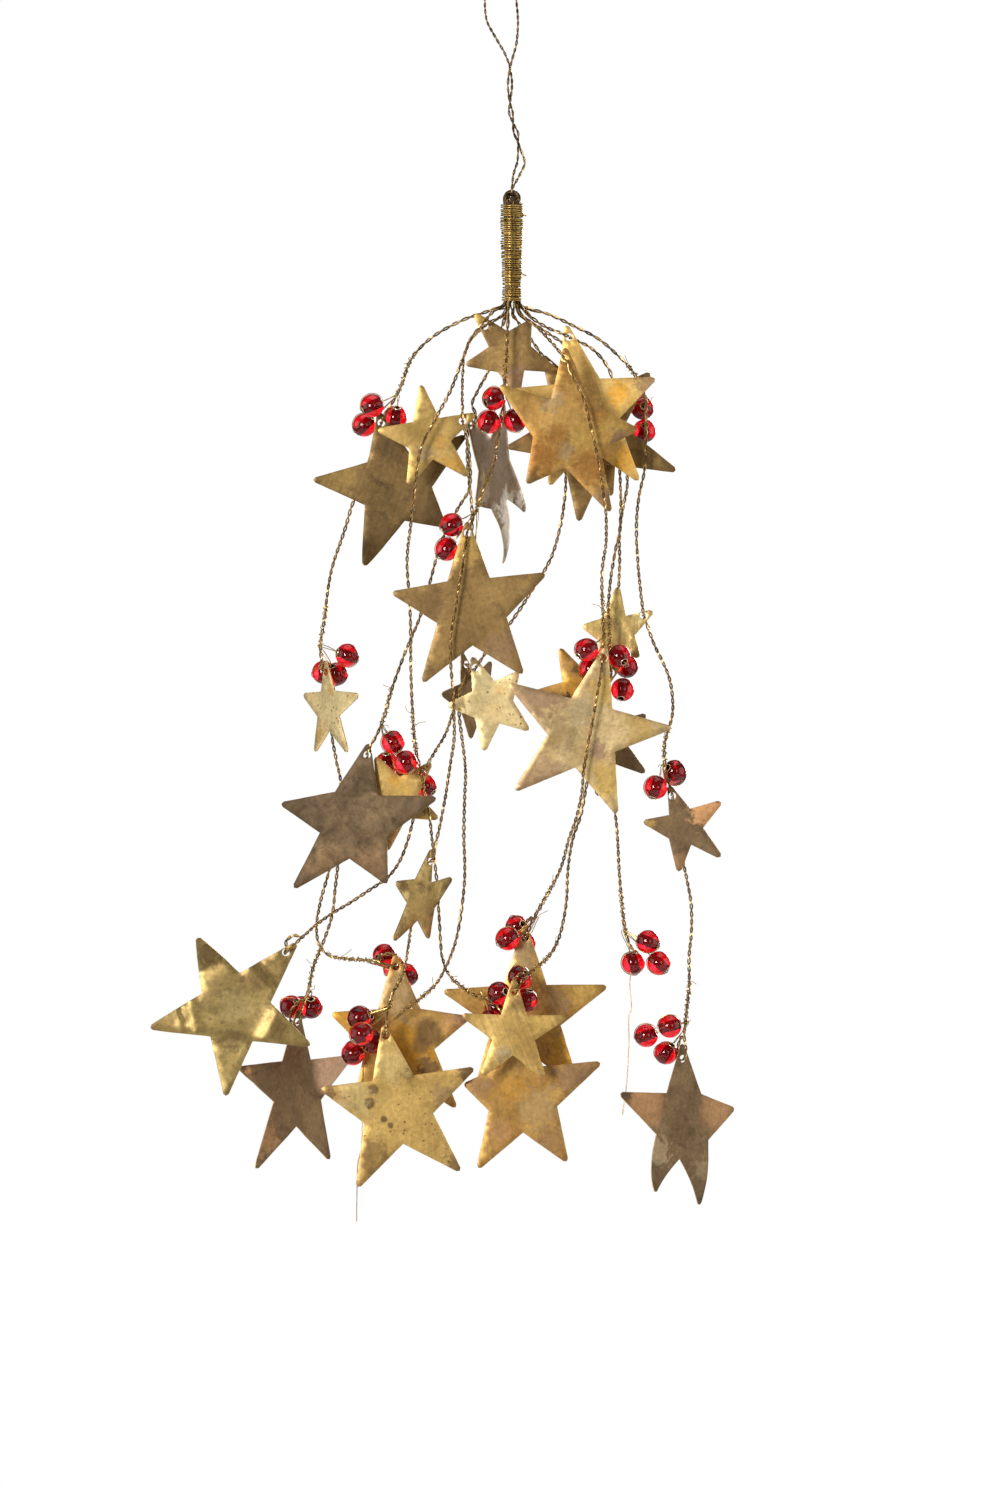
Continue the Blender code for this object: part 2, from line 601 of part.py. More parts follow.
def strand_line(name):
    """The strand's smooth centre line from the stem to its end."""
    stops = ROUTES[name]
    points = strand_start(name)
    for i, stop in enumerate(stops):
        if stop[0] not in STARS:
            points.append(picture(*stop))
            continue
        after = route_point(stops[i + 1]) if i + 1 < len(stops) else None
        points += threading(STARS[stop[0]], stop[1], points[-1], after)
    return smooth_curve(points, SAMPLE_STEP)


def place_at_row(line, row):
    """The first point of a centre line at this photo row, and the direction there."""
    height = picture(0, row).z
    for a, b in zip(line, line[1:]):
        if b.z <= height <= a.z:
            return a.lerp(b, (a.z - height) / (a.z - b.z)), (b - a).normalized()
    return line[-1], (line[-1] - line[-2]).normalized()


def tie_line(place, along, towards):
    """The bead wire's turns round a strand, ending on the side where the beads are."""
    out = in_plane(towards - place, along)
    side = along.cross(out)
    radius = STRAND_DIAMETER / 2 + CLEARANCE + BEAD_WIRE_DIAMETER / 2
    radius /= math.cos(math.pi / TIE_POINTS_PER_TURN)
    count = round(TIE_TURNS * TIE_POINTS_PER_TURN)
    points = []
    for i in range(-count, 1):
        turns = i / TIE_POINTS_PER_TURN
        angle = 2 * math.pi * turns
        around = out * math.cos(angle) + side * math.sin(angle)
        points.append(place + along * TIE_PITCH * turns + around * radius)
    return points


def mesh_from_curve(obj):
    """A closed mesh of a curve object, which it replaces."""
    mesh = bpy.data.meshes.new_from_object(obj)
    shape = bmesh.new()
    shape.from_mesh(mesh)
    bmesh.ops.remove_doubles(shape, verts=shape.verts, dist=WELD)
    bmesh.ops.recalc_face_normals(shape, faces=shape.faces)
    shape.to_mesh(mesh)
    shape.free()
    return mesh


def union(obj, other):
    join = obj.modifiers.new(other.name, "BOOLEAN")
    join.operation = "UNION"
    join.object = other


def make_cluster(name, cluster, line, parent, glass, wire):
    """Three beads and the wire that strings them and is tied round the strand."""
    beads = [picture(*bead) for bead in cluster.beads]
    place, along = place_at_row(line, cluster.tie_row)
    wire_line = tie_line(place, along, beads[0]) + beads
    guide = tube(name + "_line", wire_line, BEAD_WIRE_DIAMETER, 0, parent, wire)
    mesh = mesh_from_curve(guide)
    bpy.data.objects.remove(guide, do_unlink=True)
    strung = add(name, mesh, parent, parent.location)
    spheres = bmesh.new()
    for bead in beads:
        bmesh.ops.create_uvsphere(
            spheres,
            u_segments=BEAD_SIDES,
            v_segments=BEAD_ROWS,
            radius=BEAD_DIAMETER / 2,
            matrix=Matrix.Translation(bead - parent.location),
        )
    glass_mesh = bpy.data.meshes.new(name + "_beads")
    spheres.to_mesh(glass_mesh)
    spheres.free()
    glass_mesh.materials.append(glass)
    union(strung, add(name + "_beads", glass_mesh, parent, parent.location, helper=True))
    return strung


def make_stem(parent, material):
    """The gathered bundle: a turned, tapering stem that flares at its foot, and the arch of its eye."""
    foot = stem_foot().z - parent.location.z
    top = foot + STEM_LENGTH
    profile = (
        (0, top),
        (STEM_TOP_RADIUS, top),
        (STEM_NECK_RADIUS, foot + 2 * STEM_FOOT_HEIGHT),
        (STEM_NECK_RADIUS, foot + STEM_FOOT_HEIGHT),
        (STEM_FOOT_RADIUS, foot),
        (0, foot),
    )
    turned = bmesh.new()
    corners = [turned.verts.new((radius, 0, height)) for radius, height in profile]
    edges = [turned.edges.new(pair) for pair in zip(corners, corners[1:])]
    bmesh.ops.spin(
        turned,
        geom=corners + edges,
        cent=(0, 0, 0),
        axis=(0, 0, 1),
        angle=2 * math.pi,
        steps=STEM_SIDES,
        use_merge=True,
    )
    bmesh.ops.remove_doubles(turned, verts=turned.verts, dist=WELD)
    bmesh.ops.recalc_face_normals(turned, faces=turned.faces)
    mesh = bpy.data.meshes.new("stem")
    turned.to_mesh(mesh)
    turned.free()
    mesh.materials.append(material)
    stem = add("stem", mesh, parent, parent.location)
    arch = [
        Vector((math.cos(turn), 0, math.sin(turn))) * EYE_RADIUS
        for turn in (math.pi * k / EYE_SIDES for k in range(EYE_SIDES + 1))
    ]
    drop = Vector((0, 0, EYE_HEIGHT + STEM_TOP_RADIUS))
    route = [point + parent.location for point in (arch[0] - drop, *arch, arch[-1] - drop)]
    guide = tube("eye_line", route, 2 * EYE_WIRE_RADIUS, 2, parent, material)
    eye = add("eye", mesh_from_curve(guide), parent, parent.location, helper=True)
    bpy.data.objects.remove(guide, do_unlink=True)
    union(stem, eye)


def make_binding(parent, material):
    """The wire wound round the stem, as one unbroken helix that follows the taper."""
    top = stem_foot().z + STEM_LENGTH - BINDING_DIAMETER
    bottom = stem_foot().z + STEM_FOOT_HEIGHT + BINDING_DIAMETER
    count = BINDING_TURNS * BINDING_POINTS_PER_TURN
    points = []
    for i in range(count + 1):
        share = i / count
        core = STEM_TOP_RADIUS + (STEM_NECK_RADIUS - STEM_TOP_RADIUS) * share
        radius = (core + CLEARANCE + BINDING_DIAMETER / 2) / math.cos(math.pi / BINDING_POINTS_PER_TURN)
        turn = 2 * math.pi * i / BINDING_POINTS_PER_TURN
        height = top + (bottom - top) * share
        points.append(Vector((EYE_OFFSET + radius * math.cos(turn), radius * math.sin(turn), height)))
    print_least_gap("binding_wire", points, BINDING_DIAMETER, BINDING_POINTS_PER_TURN)
    tube("binding_wire", points, BINDING_DIAMETER, 1, parent, material)


def print_least_gap(name, points, diameter, points_per_turn):
    """Prints how near one turn of a winding comes to the next."""
    gaps = (
        (a - b).length
        for i, a in enumerate(points)
        for b in points[i + points_per_turn // 2 + 1 : i + 2 * points_per_turn]
    )
    print(f"{name}: least gap to itself {(min(gaps) - diameter) / MM:.2f} mm")


def loop_twist_leg(side):
    """One leg's points along the twist, top to bottom, with side 1 or -1."""
    points = []
    for row, column, half_gap, degrees in LOOP_TWIST:
        turn = math.radians(degrees)
        offset = Vector((math.cos(turn), math.sin(turn), 0)) * half_gap * MM * side
        points.append(picture(column, row) + offset)
    return points


def make_hanging_loop(material):
    """One closed wire: up over the hook, down both twisted legs and under the arch of the eye."""
    apex = Vector((0, 0, LOOP_DIAMETER / 2))
    reach = EYE_WIRE_RADIUS + CLEARANCE + LOOP_DIAMETER / 2
    arch = stem_axis() + Vector((0, 0, EYE_RADIUS))
    under = [
        arch + Vector((0, -math.cos(turn), -math.sin(turn))) * reach
        for turn in (math.pi * k / LOOP_BEND_SIDES for k in range(LOOP_BEND_SIDES + 1))
    ]
    rise = Vector((0, 0, EYE_WIRE_RADIUS))
    left = [picture(*point) for point in LOOP_LEFT] + loop_twist_leg(1)
    right = [picture(*point) for point in LOOP_RIGHT] + loop_twist_leg(-1)
    route = [apex, *left, under[0] + rise, *under, under[-1] + rise, *reversed(right), apex]
    points = smooth_curve(route, LOOP_STEP)[:-1]
    tube("hanging_loop", points, LOOP_DIAMETER, 1, None, material, closed=True)


def main():
    clear_scene()
    brass = finish("aged_brass", (0.45, 0.30, 0.10), 0.4, 1.0)
    bronze = finish("dark_bronze_wire", (0.09, 0.06, 0.04), 0.45, 1.0)
    gold = finish("brass_wire", (0.62, 0.42, 0.14), 0.35, 1.0)
    glass = finish("red_glass", (0.55, 0.01, 0.02), 0.05, 0.0, 0.9)
    make_hanging_loop(gold)
    swing = add("swing_axis", None, None, stem_axis())
    make_stem(swing, bronze)
    make_binding(swing, gold)
    lines = {name: strand_line(name) for name in ROUTES}
    for name, line in lines.items():
        tube(name, line, STRAND_DIAMETER, 2, swing, bronze)
    for name, star in STARS.items():
        make_star(name, star, swing, brass)
    for name, cluster in CLUSTERS.items():
        make_cluster(name, cluster, lines[cluster.strand], swing, glass, gold)


main()
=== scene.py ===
"""Looks of the hanging star decoration: twisted wires, patinated sheet stars and red glass beads.

The places, routes and star shapes repeat the CAD source's own values.
"""

import math
import random
from collections import namedtuple

import bpy
from mathutils import Matrix, Vector, geometry, noise


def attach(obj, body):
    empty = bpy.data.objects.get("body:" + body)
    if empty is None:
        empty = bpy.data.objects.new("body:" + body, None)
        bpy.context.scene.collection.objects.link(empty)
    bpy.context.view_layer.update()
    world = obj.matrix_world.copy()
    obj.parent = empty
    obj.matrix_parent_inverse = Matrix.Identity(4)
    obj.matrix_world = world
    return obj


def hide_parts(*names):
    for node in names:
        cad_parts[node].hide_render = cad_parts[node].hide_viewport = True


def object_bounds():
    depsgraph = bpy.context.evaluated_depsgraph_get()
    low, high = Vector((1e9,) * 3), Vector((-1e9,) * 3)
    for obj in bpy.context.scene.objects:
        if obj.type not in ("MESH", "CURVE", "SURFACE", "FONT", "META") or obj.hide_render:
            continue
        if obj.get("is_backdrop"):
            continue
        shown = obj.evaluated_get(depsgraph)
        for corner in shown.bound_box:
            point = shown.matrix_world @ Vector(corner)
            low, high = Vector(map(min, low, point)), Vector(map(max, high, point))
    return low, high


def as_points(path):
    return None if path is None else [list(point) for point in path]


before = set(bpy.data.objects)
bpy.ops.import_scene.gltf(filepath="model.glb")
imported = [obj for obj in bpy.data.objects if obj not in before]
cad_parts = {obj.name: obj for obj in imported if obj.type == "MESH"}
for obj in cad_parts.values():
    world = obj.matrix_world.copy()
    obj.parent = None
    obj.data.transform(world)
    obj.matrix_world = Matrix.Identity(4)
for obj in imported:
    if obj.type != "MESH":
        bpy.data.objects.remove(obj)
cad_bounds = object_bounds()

MM = 0.001

# Sides of a wire's round section.
WIRE_SIDES = 7
THICK_SIDES = 8
FINE_SIDES = 6
FRAY_SIDES = 5

# The picture plane: the real size of a photo pixel, and the pixel where the hook carries the loop.
PIXEL = 0.342 * MM
HOOK_COLUMN = 502
HOOK_ROW = -40

# The camera, level and square to the picture.
CAMERA_PLACE = Vector((-1.88 * MM, -6.0, -268.1 * MM))
CAMERA_LENS = 424

# In the names below, a patch is the length over which a random value changes, and a seed sets one apart.

# Sheet stars: distance from the middle to a waist corner, by size, and the sheet itself.
LARGE = 12.5 * MM
SMALL = 7.6 * MM
TINY = 6.6 * MM
SHEET_THICKNESS = 0.4 * MM
SHEET_BEVEL = 0.07 * MM
TIP_ROUNDING = 1.0 * MM
HOLE_SIDES = 18
HOLE_RADIUS = 1.3 * MM
EDGE_STEP = 1.3 * MM
GRID_STEP = 2.1 * MM
EDGE_MARGIN = 1.26 * MM
HOLE_MARGIN = 1.05 * MM
CUT_WOBBLE = 0.13 * MM
CUT_PATCH = 3.1
WARP = 0.28 * MM
WARP_SIZE = 14 * MM
HOLE_FLAT = 8.4 * MM
HAMMER = 0.035 * MM
HAMMER_SIZE = 2.6 * MM
CREASE_SPREAD = 0.6

# Twisted strands: the pair's outer diameter, one wire, how far it lies off the middle, and the length of a
# turn, which is longer by a share near the stem. A hooked end comes back to its own strand.
STRAND_DIAMETER = 1.2 * MM
STRAND_WIRE_RADIUS = 0.28 * MM
STRAND_PAIR_RADIUS = 0.33 * MM
STRAND_TURN = 5.4 * MM
STRAND_SLACK = 0.14 * MM
SLACK_PATCH = 11 * MM
SLACK_SEED = 40
TWIST_UNEVEN = 0.3
TWIST_PATCH = 20 * MM
STRAND_LOOSE = 0.4
STRAND_SETTLE = 50 * MM
STRAND_RETURN = 8.0 * MM
STRAND_STEP = 0.5 * MM
STRAND_TUCK = 4.0 * MM
STRAND_SPREAD = 0.15
CLEARANCE = 0.3 * MM

# How a strand passes a star's hole, as in the CAD source.
THREAD_GAP = 0.75 * MM
THREAD_RUN = 2.4
THREAD_RISE = 1.3
THREAD_SLIDE = 0.5
HOOK_SLIDE = 0.3
HOOK_POINTS = ((2.1, 0.5), (1.7, 2.6))

# Glass beads, their finishes, and the fine wire that strings them, with its turns on a strand and its frays.
GLASS, BORE_SHADE, RIM = range(3)
BEAD_RADIUS = 4.0 * MM
BEAD_HOLE_RADIUS = 1.2 * MM
BEAD_SIDES = 30
BEAD_ROWS = 16
RIM_RADIUS = 0.17 * MM
RIM_SIDES = 6
RIM_STEPS = 24
BEAD_WIRE_RADIUS = 0.15 * MM
BEAD_WIRE_STEP = 0.45 * MM
BEAD_WIRE_PROUD = 0.25 * MM
BEAD_WRAP_SIDES = 7
BEAD_WRAP_LEAN = (-0.5, 0.5)
TAIL_RADIUS = 0.17 * MM
TIE_LENGTH = 14.0 * MM
TIE_TURNS = 9
TIE_UNEVEN = 0.7
TIE_PATCH = 0.2
TIE_RADIUS = 0.903 * MM
TIE_SWELL = 0.215 * MM
TIE_SWELL_PATCH = 0.09
TIE_SWELL_SEED = 7
TIE_CLUTTER = 0.6 * MM
FRAY_LENGTH = 3.2 * MM
FRAY_SHARES = (0.5, 1)
FRAY_LEAN = ((-1, 1), (-0.6, 0.6), (0, 1))
FRAY_CURL = 0.5
FRAY_RADIUS = 0.105 * MM
ANY_WAY = ((-1, 1), (-1, 1), (-1, 1))

# Stem: the gathered bundle, its eye and the binding wire.
EYE_DROP = 81.4 * MM
EYE_OFFSET = 3.4 * MM
EYE_RADIUS = 2.0 * MM
EYE_WIRE_RADIUS = 1.1 * MM
EYE_HEIGHT = 1.9 * MM
EYE_STEPS = 24
EYE_WIRES = 5
EYE_WIRE_OFFSET = 0.66 * MM
EYE_STRAND_RADIUS = 0.462 * MM
EYE_TWIST = 5.5
EYE_UNEVEN = 0.5
EYE_PATCH = 9
STEM_LENGTH = 34.0 * MM
STEM_TOP_RADIUS = 2.8 * MM
STEM_NECK_RADIUS = 2.1 * MM
STEM_CORE_RADIUS = 1.6 * MM
STEM_CORE_SIDES = 20
STEM_WIRE_STEP = 0.4 * MM
BUNDLE_WIRES = 14
BUNDLE_WIRE_RADIUS = 0.5 * MM
BUNDLE_STEPS = 30
BUNDLE_LEAN = 0.5
BUNDLE_CROWN = (0.7, 1)
BINDING_WIRE_RADIUS = 0.27 * MM
BINDING_TURNS = 46
BINDING_STEPS_PER_TURN = 20
BINDING_FOOT = 0.9 * MM
# Waves of its bulge and of its drift up and down, as (share, seed, length in turns).
BINDING_BULGE = 0.42 * MM
BINDING_BULGE_WAVES = ((1.0, 3, 5.5), (0.8, 9, 0.8))
BINDING_DRIFT = 0.5 * MM
BINDING_DRIFT_WAVES = ((1.0, 21, 1.3),)
# Its cut ends: how many, how far each may lean from straight out, and its points in mm.
BINDING_ENDS = 14
BINDING_END_LEAN = ((-0.6, 0.6), (-0.6, 0.6), (-0.8, 0.4))
BINDING_END_STOPS = (0, 0.7, 1.3)
# Stray wires at the foot, counted in steps along the strands: where one crosses to the next strand, and how
# long one winds along its own.
STRAY_OFFSET = 0.55 * MM
STRAY_RADIUS = 0.24 * MM
STRAY_CROSSING = (2, 12, 20)
STRAY_CROSSING_SHARE = 0.6
STRAY_STEPS = (20, 34)
STRAY_TURN = 0.16
EYE_FILL = 1.9 * MM
EYE_TANGLE_DEPTH = 2.75 * MM
EYE_TANGLE_RADIUS = 0.34 * MM
# Loose wires across the eye, in front and behind: where each starts and stops, across and up from its middle
# in mm, and how far its own middle is bowed.
EYE_TANGLE = (((-2.4, -2.6), (1.7, 0.8)), ((2.3, -2.6), (-1.2, 0.6)), ((-0.9, -2.6), (0.4, 0.7)))
EYE_TANGLE_BOW = Vector((0.3, 0, 0.2)) * MM
STRAND_RING_RADIUS = 2.2 * MM
STRAND_CORE_OFFSET = 0.75 * MM

# Hanging loop of two thin wires twisted together.
LOOP_DIAMETER = 0.9 * MM
LOOP_WIRE_RADIUS = 0.23 * MM
LOOP_TURN = 5.0 * MM
LOOP_SLACK = 0.08 * MM
LOOP_STEP = 0.4 * MM
LOOP_BEND_SIDES = 6
LOOP_SEED = 77

# A hand-cut star: its size, the hole's depth in mm, the photo pixels of its hole, of its middle and of its
# five tips, from the holed one anticlockwise, and its yaw in degrees. A bent arm's tip is as it would show
# without the bend's rise off the sheet.
# A bend is (arm, where it starts in mm from the middle, angle), with a positive angle towards the viewer.
Star = namedtuple("Star", "waist depth hole middle tips yaw bends", defaults=(0, ()))
STARS = {
    "star_01": Star(
        SMALL, 1.2, (484.6, 325.3), (510, 353),
        ((475, 313), (466, 364), (518, 396), (557, 370), (530.5, 320)),
    ),
    "star_02": Star(
        LARGE, 8.5, (381, 422), (395.5, 485),
        ((378.8, 411), (313, 479), (364, 565), (445, 526), (465, 435)), 0, ((2, 17, 45),),
    ),
    "star_03": Star(
        SMALL, -7, (462.5, 421), (429, 437.6),
        ((475.6, 414), (421, 385), (377.5, 430), (408, 485), (468, 476)),
    ),
    "star_04": Star(
        LARGE, 1, (471, 425), (494.8, 472.5),
        ((466, 415), (475, 504), (519, 562), (528.5, 509), (504.7, 402.5)), 64, ((2, 14, -30),),
    ),
    "star_05": Star(
        LARGE, -21, (564, 359), (569, 432),
        ((565, 348.5), (500, 386.5), (527, 484), (610, 512), (637, 430)),
    ),
    "star_06": Star(
        LARGE, -7, (569, 337), (583, 411),
        ((566.5, 325.5), (512, 390), (549.5, 485), (638.5, 480.5), (655, 378.5)),
    ),
    "star_07": Star(
        LARGE, 7, (549, 364), (588.5, 432),
        ((543, 354.5), (507.5, 446.5), (579, 520.5), (676.3, 470), (650.3, 372)),
    ),
    "star_08": Star(
        SMALL, 14, (613, 409), (599, 444.5),
        ((617.7, 397), (561.6, 413.4), (554.7, 472), (611.6, 495), (647, 447)),
    ),
    "star_09": Star(
        LARGE, -5, (467.5, 532.8), (471, 609),
        ((467, 521.4), (392.7, 592.7), (423, 681.7), (522.5, 673.5), (545, 574)),
    ),
    "star_10": Star(
        SMALL, 11, (325.7, 671.8), (328, 708.6),
        ((325.5, 660), (303, 694.5), (314, 751.6), (347.3, 752), (358, 695)), -57,
    ),
    "star_11": Star(
        LARGE, -9, (603, 658), (584, 732),
        ((606, 646.7), (509, 684), (515.5, 790), (616.5, 813), (670.7, 727.7)),
    ),
    "star_12": Star(
        SMALL, 1, (611, 672.6), (581, 694),
        ((620.7, 665), (560, 648), (532, 693), (565.7, 740.7), (620.7, 723)),
    ),
    "star_13": Star(
        SMALL, 9, (592, 707), (604.5, 743),
        ((588, 695.7), (555, 742), (598, 796), (645.5, 772.7), (646.3, 714.5)),
    ),
    "star_14": Star(
        TINY, 7, (644, 615), (616, 632),
        ((653, 611), (618, 586.5), (582.7, 626), (601, 662), (639, 657)), 0, ((4, 6, 40),),
    ),
    "star_15": Star(
        SMALL, 11, (475.6, 667.4), (491, 702.7),
        ((472, 656.5), (447.5, 705), (484, 750.7), (529, 730), (518.5, 672)),
    ),
    "star_16": Star(
        SMALL, 21, (466, 664), (473.5, 696.5),
        ((462, 653), (441.5, 694), (470.7, 738.5), (500, 719), (490.7, 661)), 45,
    ),
    "star_17": Star(
        LARGE, 1, (367, 754.8), (353.8, 822.5),
        ((368.5, 743.5), (281, 803.8), (293.8, 888), (386.5, 883.4), (436, 798)), -12,
    ),
    "star_18": Star(
        SMALL, 4, (422, 773), (396.5, 798.3),
        ((431, 763), (375.3, 757), (360.8, 807.8), (386.6, 851), (438, 818.8)),
    ),
    "star_19": Star(
        SMALL, 3, (430, 861.5), (421.5, 899),
        ((431.5, 849.3), (396, 882.4), (393.6, 940), (428.5, 939), (451.6, 879)), 50,
    ),
    "star_20": Star(
        TINY, 5, (672.6, 796), (684.4, 827),
        ((669.5, 785.8), (643.7, 822), (679, 871.7), (721, 857), (721.5, 802)),
    ),
    "star_21": Star(
        LARGE, -11, (286, 952), (235, 1008.8),
        ((296.5, 943), (198, 937.5), (150.6, 1027.5), (226, 1095.6), (310.3, 1045)), 0,
        ((1, 15, 40), (2, 15, -30)),
    ),
    "star_22": Star(
        LARGE, 15, (296.5, 1022.8), (296.3, 1091),
        ((297, 1010.5), (239.7, 1068), (255.6, 1168.8), (328.5, 1161.5), (350, 1059)), 48,
    ),
    "star_23": Star(
        LARGE, -11, (385.8, 1035.5), (397.3, 1107.4),
        ((383.9, 1024.7), (321, 1088.4), (357.8, 1186.6), (459.8, 1170.2), (473.8, 1068)),
    ),
    "star_24": Star(
        LARGE, 3, (395.6, 967), (399.5, 1039),
        ((395.2, 955), (332, 1014), (354.8, 1103.4), (455.5, 1107.8), (469.2, 1018)),
    ),
    "star_25": Star(
        LARGE, 7, (525, 938), (526, 1015),
        ((524.7, 925.4), (444, 991.6), (477.4, 1085.8), (577.5, 1086.5), (606.8, 987)),
    ),
    "star_26": Star(
        SMALL, -17, (514, 991), (513.5, 1032.5),
        ((514, 978.5), (462.3, 1014.5), (482, 1075), (544, 1077), (565.4, 1016.5)),
    ),
    "star_27": Star(
        LARGE, -7, (525, 1042), (522.2, 1096),
        ((525.3, 1028.7), (464, 1084), (478.5, 1167.7), (566.7, 1161), (600.3, 1062.8)),
    ),
    "star_28": Star(
        LARGE, 1, (682.6, 1059), (683.4, 1123),
        ((682.4, 1044), (620.4, 1093.2), (646.5, 1191.3), (707.5, 1206), (735, 1110)), 38,
        ((2, 13, 35), (3, 13, -30)),
    ),
}

